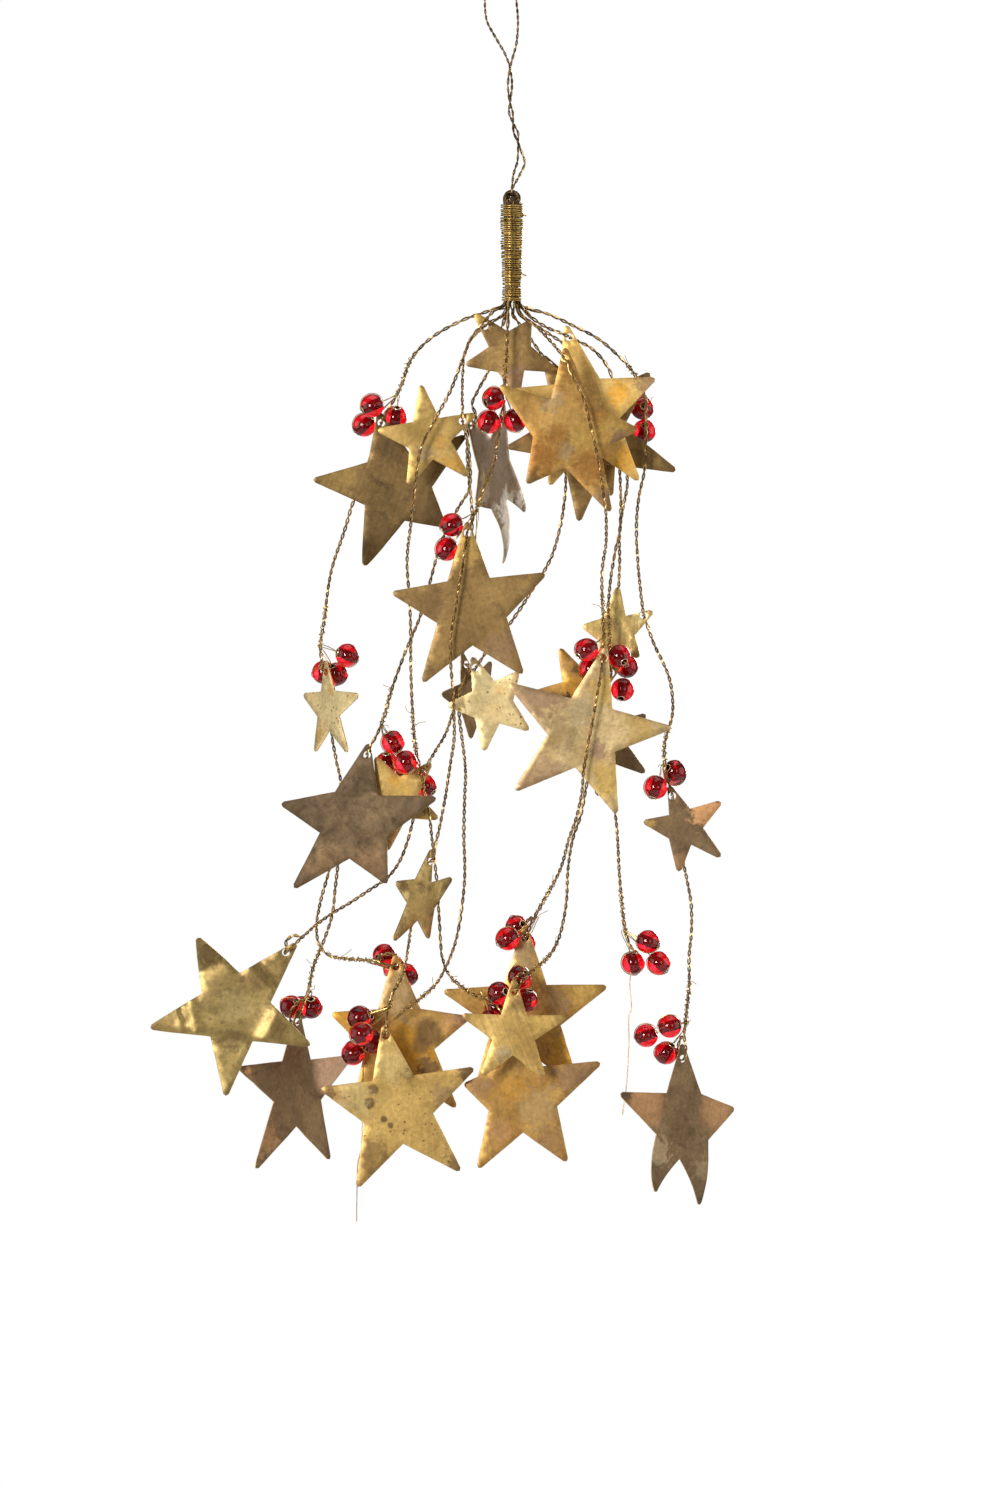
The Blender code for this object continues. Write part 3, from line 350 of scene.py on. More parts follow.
# A strand's route from the stem's foot: (column, row, depth in mm), or a star that it threads.
# TO_BACK passes the hole away from the viewer and TO_FRONT towards the viewer.
# A route that stops at a star hooks into it.
TO_BACK = 1
TO_FRONT = -1
ROUTES = {
    "strand_01": (
        (489, 310, 3.5), (461, 320, 4.5), (428.6, 339, 5.5), (410.7, 359, 6), (400, 387, 6),
        ("star_02", TO_BACK), (362, 480, 12), (351.8, 504, 12), (345, 527, 11.5), (330.5, 572, 10),
        (323.7, 621, 9), (320, 645, 9), ("star_10", TO_BACK), (331.6, 736, 13), (336, 761, 12),
        (340.5, 786, 10.5), (329.8, 864.6, 13), (319.4, 904.5, 12), (316, 928.4, 9), (319.4, 946, 6),
        (329, 955.5, 4), (345, 958.7, 2), (372, 961, 1), ("star_24", TO_BACK),
    ),
    "strand_02": (
        (494.6, 310, -3.5), (484, 322, -6), (471.4, 338, -7), (464, 356, -9), (450, 392, -12),
        (435.7, 418.6, -13), (421.4, 447, -13), (417, 470, -12), (414, 497, -9), (410.7, 524, -4),
        (407, 560, 2), (410, 610, 3), (411, 679, 4), (412.4, 709.5, 3), (415.5, 748.6, 1.5),
        (420, 768, 0.5), (425, 795, 0.5), (429.8, 820, 1.5), (431.5, 836, 5), (433, 850, 9.5),
        (436.5, 880, 11.5), (439.8, 931.6, 12), (441, 950, 11), (443.5, 962, 7), (448, 973, 3),
        (458, 984, -1), (472.5, 993.8, -3.5), (487, 1000, -5), (507, 1016, -8), ("star_27", TO_BACK),
    ),
    "strand_03": (
        (506, 312.5, -0.3), ("star_01", TO_BACK), (471, 338, 3.5), (464, 356, 3.4), (463, 371, 2.6),
        (462.5, 389, -3), (462.5, 405, -8.5), ("star_03", TO_BACK), (468, 445, -4), (470.5, 475.7, -2),
        (469, 489, 0), (457, 509.6, 2), (442, 539.7, 3.5), (430, 581, 3.5), (420, 616, 5.5), (411, 637.6, 7),
        (401.7, 660.6, 7), (391, 691, 5), (385, 714, 2), (376, 736, -0.5), ("star_17", TO_BACK),
        (353, 805, 7), (338.8, 859, 9), (335, 887, 9), (332, 914, 9), (324, 939.6, 10), (313, 966.7, 11),
        (307.5, 992, 11.5), ("star_22", TO_BACK),
    ),
    "strand_04": (
        (501.8, 325.7, 5), (495, 345, 6), (489, 368.6, 4), (478, 390, 1.5), (472, 404, 0),
        ("star_04", TO_BACK), (467, 455, 6), (469, 480, 9), (471.4, 500.7, 10), (472, 530, 12),
        (471, 580, 17), (469, 630, 22), ("star_16", TO_FRONT), (458, 695, 17), (446, 732.5, 12),
        (436, 750, 6), ("star_18", TO_BACK), (415, 810, 6.5), (407.5, 841, 8), (398.6, 863, 7),
        (388, 877, 6), (367, 891.7, 3), (349.7, 903, 1), (333.8, 912.5, -1), (317.8, 923.6, -5),
        (305, 934.8, -10), ("star_21", TO_BACK),
    ),
    "strand_05": (
        (508, 317, -3.5), (507, 343.6, -5), (505, 375.7, -6), (504, 400, -5.5), (498, 438, -4),
        (494.6, 459.6, -4), (487.5, 479, -3.5), (476, 510, -2.8), ("star_09", TO_FRONT), (461, 575, -8.5),
        (455, 610, -8.5), (450.7, 640.7, -8.5), (450.7, 663.6, -8.5), (453, 690, -8), (454, 715, -3),
        (454, 740, 1), (450, 766, 1), (446, 793, 0), (441, 820, -0.5), ("star_19", TO_BACK), (417, 905, 4),
        (412, 923.6, 1), (408.7, 944, -4), (405.5, 963.5, -8), (400.7, 979.4, -10), (393, 993, -12),
        (387, 1012.7, -13), ("star_23", TO_BACK),
    ),
    "strand_06": (
        (513, 313, 2), (518.6, 322, 4), (532, 340, 5.2), ("star_07", TO_BACK), (558, 405, 11),
        (563, 440, 12), (566, 472.8, 12), (565, 497, 11), (560, 528, 9), (550.5, 559, 6), (532, 590, 3),
        (518.6, 611, 3), (507, 627, 4), (488, 649, 8), ("star_15", TO_BACK), (460, 690, 13.2),
        (459, 713, 13), (462.9, 745, 12), (465.5, 771.8, 9), (464.6, 798.6, 7), (463.8, 834, 6),
        (464.6, 879, 6), (459.7, 922, 3), (455, 944, -1), (445.4, 968, -4), (435.8, 984, -4),
        (420, 998.6, -4), (406.5, 1009, -4.5), (394.4, 1019.6, -5),
    ),
    "strand_07": (
        (530, 308, 1.5), (549.6, 314, 1), (572, 324.5, 1), (598, 338, 1), (615, 352, 1), (629, 366, 1.5),
        (636, 376, 1.5), (645, 397, 1.5), (646, 419, 1.5), (646, 441.7, 1.5), (644.5, 471, 2),
        (639, 497, 3), (636.7, 526, 4), (638, 559, 4.5), (641, 592, 5), ("star_14", TO_BACK),
        (655, 645, 9.5), (667.8, 672, 8), (672.6, 693, 7), (672.6, 716, 7), (669, 729, 6.5), (665, 745, 5),
        (666, 772, 3.5), ("star_20", TO_BACK), (681, 850, 8), (688, 883, 7), (691.7, 906, 6),
        (691.7, 934, 5), (689.5, 956, 4), (689.5, 984, 2), (687, 1010, 0.5), (684.5, 1036, -0.5),
        ("star_28", TO_BACK),
    ),
    "strand_08": (
        (524, 309, -2.5), (534, 319, -4), (548, 328, -7), (558, 332, -8.6), ("star_06", TO_BACK),
        (590, 347, -4), (604, 361, -3.2), (611.7, 376, -2.5), (617, 420, -1), (620, 472.8, 1),
        (621, 497, 2), (620, 531, 2), (616, 548, 2), (610, 586, 1.5), (608.5, 614.8, 1), (610, 648, -0.5),
        ("star_12", TO_BACK), (601, 720, 5), (592, 755, 5), (587, 783, 5), (581, 815, 3), (573, 838.6, 1),
        (568, 870, -1), (566.6, 900, -3), (563, 923, -5), (558.6, 939, -7), (551, 953.6, -10),
        (540.7, 964, -13), (526, 976, -17.5), ("star_26", TO_BACK),
    ),
    "strand_09": (
        (522, 315, -4), (534, 324.5, -8), (546, 336.6, -13), (556, 348, -18), ("star_05", TO_FRONT),
        (577, 387, -25), (584, 402, -25), (594.5, 445, -25), (599.7, 471, -24), (603, 493, -24.5),
        (605.7, 514, -24), (605.9, 528, -22.3), (605.7, 545, -17), (602.8, 563, -12), (601.8, 586, -9),
        (602.8, 607, -7.5), (603.7, 637, -6), ("star_11", TO_FRONT), (599, 684, -13), (592.5, 720.7, -13),
        (589, 738.6, -13), (583.6, 770.7, -13), (581.8, 792, -13), (577, 815, -13), (569, 838.6, -10),
        (560, 870, -4), (544, 900, 2), (533, 920, 4.5), ("star_25", TO_BACK),
    ),
    "strand_10": (
        (520, 313, 5), (545, 330, 10), (568, 345, 13), (584, 357, 13.5), (600, 384, 12.2),
        ("star_08", TO_BACK), (622, 450, 17), (628, 479.7, 16), (623.8, 505.5, 14), (620, 531, 13),
        (620, 567, 12), (617, 610, 12), (610, 650, 11), (601, 682, 8), ("star_13", TO_BACK), (605, 760, 12),
        (615.7, 815, 11), (618, 840, 9), (619, 863, 7), (621, 891, 5), (624.5, 923, 3), (630, 945, 1),
        (638, 954, -0.5),
    ),
}

# Where the strands leave the stem: eight round a ring at these angles from +X, and two at its core.
RING_ANGLES = {
    "strand_08": -22.5, "strand_09": -67.5, "strand_05": -112.5, "strand_02": -157.5,
    "strand_07": 22.5, "strand_10": 67.5, "strand_04": 112.5, "strand_01": 157.5,
}
CORE_SIDES = {"strand_03": -1, "strand_06": 1}

# Each bead cluster: its strand, the row where its wire is tied on, and its beads as
# (column, row, depth in mm).
CLUSTERS = {
    "bead_cluster_01": ("strand_01", 392, ((372, 405, 4.9), (364, 424, 11.6), (395.3, 416, 12))),
    "bead_cluster_02": ("strand_05", 392, ((493.6, 398.6, -9), (489, 422, -7.7), (515.4, 420, -5.5))),
    "bead_cluster_03": ("strand_07", 400, ((642.8, 407, 11.6), (645, 429.6, 17.6), (640, 403, 20.2))),
    "bead_cluster_04": ("strand_05", 508, ((451.8, 524.8, -2.8), (447, 549, -0.8), (472, 560, 0.5))),
    "bead_cluster_05": ("strand_01", 645, ((346.8, 654.8, 11.5), (336, 673.6, 16.4), (322.7, 671.8, 23.2))),
    "bead_cluster_06": ("strand_03", 724, ((393, 742, 0.9), (387, 763, 8.4), (405.7, 762, -1.6))),
    "bead_cluster_07": ("strand_02", 752, ((407, 771, 14), (425, 786, 11.5), (417, 780, 21))),
    "bead_cluster_08": ("strand_09", 634, ((586.6, 649.7, -10.1), (590.7, 669, -4.2), (594, 694.5, -4.2))),
    "bead_cluster_09": ("strand_08", 648, ((619.2, 656, -4.8), (627, 666, 9.8), (622.8, 689.4, 3.8))),
    "bead_cluster_10": ("strand_07", 764, ((675, 771.4, 7.4), (656.2, 787.4, 1.3), (675.5, 774.5, 15.5))),
    "bead_cluster_11": ("strand_03", 990, ((290.4, 1008, 21.6), (310.4, 1008, 17.2), (300.2, 1009, 29.1))),
    "bead_cluster_12": ("strand_01", 960.5, ((384, 955.8, 8.7), (406.5, 975.6, 9), (394, 968, 15.5))),
    "bead_cluster_13": (
        "strand_05", 1004, ((359, 1017.6, -9.9), (361.8, 1033.5, -16), (363.6, 1019.6, -1.8)),
    ),
    "bead_cluster_14": ("strand_06", 1012, ((373.2, 1042, -2.3), (352.8, 1054, -1.4), (354.3, 1052, 8.9))),
    "bead_cluster_15": ("strand_09", 915, ((507.8, 939, 3), (517, 927.4, 13.9), (524.2, 943.7, 19.3))),
    "bead_cluster_16": ("strand_08", 968, ((519.3, 976.8, -9.3), (526.4, 1000, -11), (520, 980.3, -1))),
    "bead_cluster_17": ("strand_02", 998, ((498.8, 992.9, -10.2), (496, 1008, -1.2), (490, 1021, -9.8))),
    "bead_cluster_18": ("strand_10", 932, ((648.3, 941.8, 0.1), (633.6, 963, 3.1), (659, 963, -0.4))),
    "bead_cluster_19": ("strand_07", 1022, ((670, 1026.4, 0), (646.6, 1036, 3.4), (666.5, 1053.4, 6.8))),
}
# Clusters whose wire runs on from bead to bead, because a star stands between the strand and the far ones.
CHAINED = ("bead_cluster_07", "bead_cluster_09", "bead_cluster_14")

# The hanging loop's legs above their first crossing, as (column, row).
LOOP_LEFT = ((491, -35), (486, -20), (484.8, 0), (487, 20), (497, 39), (505, 53))
LOOP_RIGHT = ((512, -35), (516, -20), (516.5, 0), (518, 20), (516.7, 41), (513, 56))
# Below it they twist: (row, column of the middle, half the gap between the legs in mm, turn in degrees).
LOOP_TWIST = (
    (67, 510, 0.65, -90), (84, 510, 0.7, 0), (102, 510, 0.65, 90), (112, 511, 0.65, 180),
    (122, 513, 0.65, 270), (132, 516, 0.7, 360), (142, 518, 0.7, 450), (152, 520, 0.9, 495),
    (162, 521, 1.3, 540), (173, 517, 1.6, 585),
)

# Loose ends of fine bead wire: (column, row, depth in mm).
TAILS = {
    "wire_tail_01": (
        (366, 1046, -5), (363.5, 1062, -4), (362.8, 1084, -2), (362.5, 1110, 1), (362, 1132, 1),
        (361, 1150, 0), (358, 1162, 0), (356.8, 1195, 0), (356.5, 1222, 0),
    ),
    "wire_tail_02": (
        (631, 972, 1), (630, 985, 0.5), (631.4, 1010, 0), (629, 1016, 0), (629, 1040, -0.5),
        (627.6, 1072, -1.5), (625.5, 1095, -1.5), (622.5, 1115, -1.5),
    ),
}

# Finishes of the sheet as sRGB colours: two tones of brass, the stain on it, and its roughness.
Finish = namedtuple("Finish", "main second stain roughness")
UMBER = Finish((120, 96, 68), (138, 112, 78), (98, 78, 54), 0.56)
OLIVE = Finish((140, 110, 64), (168, 134, 80), (112, 88, 54), 0.46)
MOSS = Finish((204, 174, 106), (182, 152, 92), (142, 114, 68), 0.38)
GOLD = Finish((204, 164, 90), (228, 188, 110), (158, 124, 72), 0.40)
PALE = Finish((238, 208, 146), (246, 222, 162), (204, 166, 106), 0.40)
AMBER = Finish((196, 146, 72), (224, 176, 98), (146, 106, 60), 0.42)
CLOUDED = Finish((204, 172, 112), (230, 200, 142), (164, 132, 94), 0.40)
PEWTER = Finish((116, 86, 48), (132, 102, 62), (98, 74, 44), 0.5)

# Each star's finish, how far stain spreads over it, a factor on its brightness, its fine dark specks and its
# scratches. The factor is partly the star's own tone and partly painted light: it darkens stars that the
# lamps light strongly, such as star_17, and brightens stars that lie in shadow, such as star_06 behind
# star_05.
Patina = namedtuple("Patina", "finish amount shade specks strokes", defaults=(1.0, 0.0, 0.06))
PATINAS = {
    "star_01": Patina(OLIVE, 0.40, 1.05), "star_02": Patina(OLIVE, 0.42, 0.64, 0.0, 0.12),
    "star_03": Patina(GOLD, 0.36, 0.77), "star_04": Patina(PEWTER, 0.36, 1.2),
    "star_05": Patina(AMBER, 0.42, 0.8), "star_06": Patina(GOLD, 0.38, 1.35),
    "star_07": Patina(OLIVE, 0.40, 0.92), "star_08": Patina(OLIVE, 0.40, 1.15),
    "star_09": Patina(OLIVE, 0.38, 0.95), "star_10": Patina(PALE, 0.34, 0.93, 0.9),
    "star_11": Patina(CLOUDED, 0.44, 1.03), "star_12": Patina(AMBER, 0.40, 0.87),
    "star_13": Patina(UMBER, 0.40, 1.06), "star_14": Patina(MOSS, 0.42, 1.3, 0.0, 0.2),
    "star_15": Patina(PALE, 0.30, 1.0, 0.9), "star_16": Patina(UMBER, 0.38, 1.2),
    "star_17": Patina(UMBER, 0.36, 0.54), "star_18": Patina(GOLD, 0.36, 0.95),
    "star_19": Patina(MOSS, 0.46, 1.02, 0.3), "star_20": Patina(UMBER, 0.36, 1.04),
    "star_21": Patina(MOSS, 0.34, 0.68, 0.5), "star_22": Patina(UMBER, 0.38, 1.28),
    "star_23": Patina(GOLD, 0.38, 0.87, 0.9), "star_24": Patina(AMBER, 0.34, 0.85),
    "star_25": Patina(AMBER, 0.40, 0.85, 0.0, 0.12), "star_26": Patina(GOLD, 0.40, 0.86, 0.0, 0.2),
    "star_27": Patina(AMBER, 0.42, 0.82), "star_28": Patina(UMBER, 0.40, 1.03),
}

# The sheet's metal: how metallic it is, its grain, and its noise textures as repeats to the metre, detail,
# roughness and distortion. Scratches are drawn out along one way, upright or up to an angle to either side.
SHEET_METALLIC = 0.75
SHEET_GRAIN = 0.06 * MM
SHEET_BUMP = 0.25
TONE_NOISE = (60, 3, 0.55, 0.5)
CLOUD_NOISE = (130, 8, 0.66, 0.9)
MOTTLE_NOISE = (700, 6, 0.72)
SCRATCH_NOISE = (1, 2, 0.5)
SPECK_SCALE = 480
BRUSHING = (60, 1100, 60)
BRUSH_SWING = 0.5
BRUSH_SEED = 7
# Between which values of its texture each look sets in, and how far some of them go.
TONE_EDGES = (0.38, 0.62)
STAIN_EDGES = (-0.1, 0.14)
TIP_EDGES = (0.8, 1.05)
TIP_STAIN = 0.6
SPECK_EDGES = (0.12, 0.24)
SPECK_CLOUDS = (0.42, 0.55)
GRAIN_EDGES = (0.3, 0.7)
FLECK_LEVELS = (0.74, 1.2)
ROUGH_EDGES = (0.35, 0.7)
ROUGH_CHANGES = (-0.08, 0.1)

# Wires, cut edges and the beads' small parts: two sRGB tones, roughness, patches to the metre, how metallic.
METALS = {
    "bronze_wire": ((120, 94, 58), (194, 158, 100), 0.3, 260, 1.0),
    "loop_wire": ((104, 82, 54), (146, 118, 76), 0.34, 300, 1.0),
    "brass_wire": ((160, 128, 66), (214, 180, 104), 0.3, 350, 1.0),
    "bundle_wire": ((66, 52, 36), (104, 84, 56), 0.42, 300, 1.0),
    "cut_edge": ((226, 194, 138), (204, 168, 108), 0.35, 240, 1.0),
    # The beads' bore wall is painted dark maroon: painted shade of the narrow bore seen through the red
    # glass.
    "bead_bore_shade": ((104, 12, 30), (126, 22, 42), 0.5, 500, 0.0),
    "bead_rim": ((216, 194, 156), (238, 224, 196), 0.3, 400, 1.0),
}
WIRE_NOISE = (3, 0.6)
WIRE_GRAIN = 0.03 * MM
WIRE_BUMP = 0.2
WIRE_FINENESS = 6
WIRE_SEED = 0.01

# The beads' glass, and the floor.
GLASS_TONES = ((238, 14, 28), (214, 4, 18))
GLASS_ROUGHNESS = 0.03
GLASS_IOR = 1.5
GLASS_SCALE = 150
GLASS_EDGES = (0.35, 0.65)
GLASS_SEED = 5
FLOOR_TONES = ((246, 246, 246), (240, 240, 240))
FLOOR_ROUGHNESS = 0.8
FLOOR_NOISE = (9, 3)
FLOOR_SEED = 1

# How far apart in their noise two seeds lie.
TEXTURE_APART = Vector((0.37, 0.11, 0))
WANDER_APART = 10.7
WANDER_PLANE = 3.3
WARP_APART = 5.1
HAMMER_APART = 2.3

# Colours of the marks on the sheets: stains that heat and handling left, and on star_21 painted shade along
# its creases.
ORANGE = (226, 164, 58)
COPPER = (212, 158, 106)
ROSE = (206, 172, 140)
RUST = (172, 114, 50)
GILT = (216, 176, 92)
STRAW = (226, 200, 134)
MAUVE = (158, 124, 98)
ASH = (182, 160, 122)
SILVER = (214, 200, 180)
BROWN = (116, 88, 58)
SOOT = (84, 64, 42)
SPECK = (120, 78, 38)

# The marks on each star: photo column and row, radius in mm, colour, strength and how ragged the edge is.
# A mark's own noise is given as repeats to its radius, detail, roughness and distortion. It fades at its rim.
RAGGED = 4.0
ROUND = 0.5
MARK_SCALE = 1.8
MARK_NOISE = (7, 0.72, 0.6)
MARK_RIM = 1.15
MARK_FADE = 0.45
Mark = namedtuple("Mark", "column row radius colour strength ragged", defaults=(0.75, RAGGED))
MARKS = {
    "star_01": ((479, 317, 3, GILT), (517, 378, 5, MAUVE, 0.6), (492, 338, 3, BROWN, 0.4)),
    "star_02": ((336, 478, 6, GILT, 0.3), (390, 450, 5, BROWN, 0.4), (420, 510, 7, BROWN, 0.4)),
    "star_03": ((452, 466, 4, ORANGE, 0.5), (424, 452, 3, ASH, 0.6), (440, 442, 2.5, ORANGE, 0.4)),
    "star_04": ((511, 532, 13, SILVER, 0.9), (520, 497, 3, SILVER, 0.7), (482, 494, 5, ASH, 0.4)),
    "star_05": (
        (568, 418, 6, AMBER.second, 0.7), (586, 442, 6, GILT, 0.7), (612, 426, 5, GILT, 0.7),
        (552, 402, 4, ASH, 0.5), (566, 452, 3, ASH, 0.5), (538, 456, 7, RUST, 0.75),
        (590, 466, 6, RUST, 0.7), (556, 436, 4, RUST, 0.6), (598, 420, 3, RUST, 0.5),
        (620, 440, 3.5, MAUVE), (531, 478, 3, BROWN, 0.6), (512, 390, 4, GILT, 0.6),
        (604, 500, 4, MAUVE, 0.6), (566, 366, 6, RUST, 0.4),
    ),
    "star_06": (
        (618, 394, 4, ORANGE, 0.8), (624, 458, 4.5, ORANGE), (569, 340, 5, GILT, 0.6),
        (646, 384, 3.5, MAUVE, 0.7),
    ),
    "star_09": ((466, 548, 6, GILT, 0.5), (430, 605, 6, BROWN, 0.4), (500, 650, 6, MAUVE, 0.4)),
    "star_10": ((331, 690, 2, ORANGE, 0.5), (318, 735, 3, GILT, 0.7), (345, 744, 2, COPPER, 0.6)),
    "star_11": (
        (535, 697, 9, MAUVE, 0.7), (537, 776, 9, MAUVE, 0.6), (581, 712, 5, ASH, 0.6),
        (610, 690, 6, GILT), (598, 750, 3.5, MAUVE, 0.7), (608, 780, 6, GILT, 0.7),
        (640, 727, 6, GILT, 0.4), (560, 735, 6, BROWN, 0.35),
    ),
    "star_12": ((571, 686, 3.5, ORANGE), (566, 700, 2.5, SOOT, 0.9), (575, 670, 1.5, SOOT, 0.6)),
    "star_14": ((610, 622, 2.5, BROWN, 0.6), (640, 618, 2.5, STRAW, 0.8), (636, 652, 2.5, BROWN, 0.6)),
    "star_15": ((459, 704, 2.5, BROWN, 0.6), (522, 676, 2, MAUVE, 0.6), (500, 690, 2, ORANGE, 0.3)),
    "star_17": ((372, 866, 7, COPPER, 0.22), (326, 862, 6, COPPER, 0.18), (352, 800, 7, SOOT, 0.3)),
    "star_18": ((389, 840, 6, COPPER), (400, 786, 4, GILT, 0.6), (395, 780, 2, ORANGE, 0.5)),
    "star_19": (
        (406, 895, 1.6, STRAW, 0.9), (402, 886, 2.5, BROWN), (446, 882, 3, BROWN, 0.6),
        (421, 888, 2, BROWN, 0.6), (400, 928, 4, BROWN, 0.5),
    ),
    "star_20": ((710, 811, 6, COPPER, 0.95), (679, 864, 4, COPPER, 0.3), (650, 824, 2, GILT, 0.4)),
    # star_21's brown marks lie on and near its creases and darken them: painted shade of the creases.
    "star_21": (
        (207, 953, 4.5, BROWN, 0.6), (206, 1004, 4, BROWN, 0.3), (258, 980, 3.5, BROWN, 0.4),
        (277, 1020, 5, BROWN, 0.4), (231, 1040, 4, BROWN, 0.4), (218, 984, 4, BROWN, 0.3),
        (236, 1006, 6, STRAW, 0.4), (243, 979, 1.2, BROWN, 0.5, ROUND), (240, 1021, 1, BROWN, 0.5, ROUND),
    ),
    "star_22": (
        (332, 1071, 10, ROSE, 0.9, ROUND), (248, 1071, 1.6, COPPER), (266, 1140, 6, COPPER, 0.3),
        (300, 1070, 8, SOOT, 0.25),
    ),
    "star_23": (
        (373.6, 1089.4, 1.9, BROWN, 0.7, ROUND), (369.4, 1103, 2, BROWN, 0.9, ROUND),
        (384, 1118.6, 1.2, BROWN, 0.9, ROUND), (390.6, 1125, 1.1, BROWN, 0.8, ROUND),
        (327, 1091, 3, BROWN, 0.7), (343, 1098, 2.5, COPPER, 0.6), (408, 1074, 2.3, BROWN, 0.5),
        (469, 1072, 3.5, BROWN, 0.8), (368, 1160, 8, BROWN, 0.5), (455, 1164, 4, BROWN, 0.6),
        (446, 1096, 5, MAUVE, 0.5), (352, 1096, 7, STRAW, 0.6), (391, 1064, 6, STRAW, 0.5),
    ),
    "star_24": (
        (405, 1050, 9, ORANGE, 0.9), (428, 1033, 5.2, BROWN, 0.75, ROUND),
        (421, 1046, 3.2, BROWN, 0.7, ROUND), (428, 1068, 3.5, BROWN, 0.8), (458, 1021, 5, COPPER, 0.8),
        (463, 1016, 2.5, MAUVE, 0.8), (345, 1018, 5, ORANGE, 0.8), (398, 995, 8, ASH, 0.55),
    ),
    "star_25": (
        (522, 952, 7, ASH, 0.6), (559, 1003, 4.5, ASH, 0.4), (584, 994, 5, GILT, 0.5),
        (566, 1052, 6, ORANGE, 0.6), (470, 990, 4, GILT, 0.5),
    ),
    "star_26": ((503, 1052, 2.6, ASH, 0.8), (519, 1003, 2.5, BROWN, 0.5), (540, 1020, 4, GILT, 0.5)),
    "star_27": (
        (537, 1106, 7, ASH, 0.35), (575, 1076, 7, MAUVE, 0.6), (500, 1131, 4.5, COPPER, 0.6),
        (515, 1090, 5, ORANGE, 0.45), (480, 1086, 4, MAUVE, 0.5), (552, 1140, 5, MAUVE, 0.4),
    ),
    "star_28": (
        (645, 1103, 9, COPPER, 0.5, ROUND), (718, 1112, 8, COPPER, 0.4, ROUND), (659, 1152, 5, ASH, 0.6),
        (682, 1120, 6, SOOT, 0.3), (626, 1094, 3, SOOT, 0.6), (703, 1170, 4, ASH, 0.4),
    ),
}

# Creases pressed into arms: (arm, distance from the middle, width, height) in mm.
FOLDS = {
    "star_14": ((0, 5.5, 0.8, 0.4), (0, 8.0, 0.8, -0.4)),
    "star_16": ((1, 8.0, 4.0, -0.4),),
    "star_21": (
        (0, 13.5, 1.7, 0.8), (0, 18, 1.8, -0.7), (1, 17, 2.0, -0.8), (2, 14.5, 1.2, 0.6),
        (2, 17.5, 1.1, -0.5), (2, 20, 1.1, 0.6), (3, 11.5, 1.2, -0.8), (4, 14, 2.5, 0.9),
    ),
    "star_22": ((1, 22, 2.0, 0.3),),
}

# Stage: the floor well below the object, the light of the surround, and the soft boxes, which face one
# point, as (name, place, width, height, power).
FLOOR_SIZE = 1.2
FLOOR_HEIGHT = -0.62
AMBIENT = 0.13
LIGHT_TARGET = Vector((0, 0, -0.25))
LIGHTS = (
    ("key_box", (-1.0, -2.0, 0.0), 0.6, 0.8, 31),
    ("fill_box", (0.95, -2.1, -0.1), 0.7, 0.9, 4),
    ("left_wall", (-1.8, -0.3, -0.1), 1.8, 1.8, 15),
    ("right_wall", (1.8, -0.4, -0.1), 1.8, 1.8, 13),
    ("top_wall", (0.1, 0.1, 1.4), 1.6, 1.6, 10),
    ("back_box", (0.9, 1.8, 0.2), 0.9, 0.9, 20),
)

# The seed of all random draws.
DRAW_SEED = 8

# Angles in degrees past which an edge is drawn sharp or is bevelled.
SHARP_ANGLE = 50
BEVEL_ANGLE = 40


def picture(column, row, depth=0.0):
    """The point in space that a photo pixel shows at a depth in mm."""
    return Vector(((column - HOOK_COLUMN) * PIXEL, depth * MM, (HOOK_ROW - row) * PIXEL))


def smooth_curve(points, step):
    """Points on a centripetal Catmull-Rom curve through these points, about a step apart on long spans."""
    ends = [2 * points[0] - points[1], *points, 2 * points[-1] - points[-2]]
    found = [points[0].copy()]
    for before, start, stop, after in zip(ends, ends[1:], ends[2:], ends[3:]):
        knots = [0.0]
        for a, b in ((before, start), (start, stop), (stop, after)):
            knots.append(knots[-1] + math.sqrt((b - a).length))
        pieces = max(1, round((stop - start).length / step))
        for i in range(1, pieces + 1):
            t = knots[1] + (knots[2] - knots[1]) * i / pieces
            found.append(catmull_rom((before, start, stop, after), knots, t))
    return found


def catmull_rom(corners, knots, t):
    """The point at t on the span between the middle two of four corners."""
    level = list(corners)
    for width, spans in ((1, (0, 1, 2)), (2, (0, 1)), (1, (1,))):
        level = [
            a.lerp(b, (t - knots[i]) / (knots[i + width] - knots[i]))
            for i, a, b in zip(spans, level, level[1:])
        ]
    return level[0]


def star_frame(star):
    """A star's place, with its hole as origin: x across, y up and z towards the viewer."""
    turn = Matrix.Rotation(math.radians(star.yaw), 4, "Z") @ Matrix.Rotation(math.radians(90), 4, "X")
    return Matrix.Translation(picture(*star.hole, star.depth)) @ turn


def on_sheet(star, pixel):
    """Where a photo pixel shows the star's sheet, as a flat vector from the hole."""
    offset = Vector((pixel[0] - star.hole[0], star.hole[1] - pixel[1])) * PIXEL
    offset.x /= math.cos(math.radians(star.yaw))
    return offset


def star_arms(star):
    """The flat vectors from the middle to the tips, with a bent arm as long as it is before it is bent."""
    middle = on_sheet(star, star.middle)
    arms = [on_sheet(star, tip) - middle for tip in star.tips]
    for arm, start, degrees in star.bends:
        angle = math.radians(degrees)
        past = arms[arm].length - start * MM
        arms[arm] += arms[arm].normalized() * past * (angle / math.sin(angle) - 1)
    return arms


def edge_angle(centre, corner, side):
    """Where an edge from a corner touches the rounding of a tip, as an angle round the tip's centre."""
    flank = corner - centre
    return math.atan2(flank.y, flank.x) + side * math.acos(TIP_ROUNDING / flank.length)


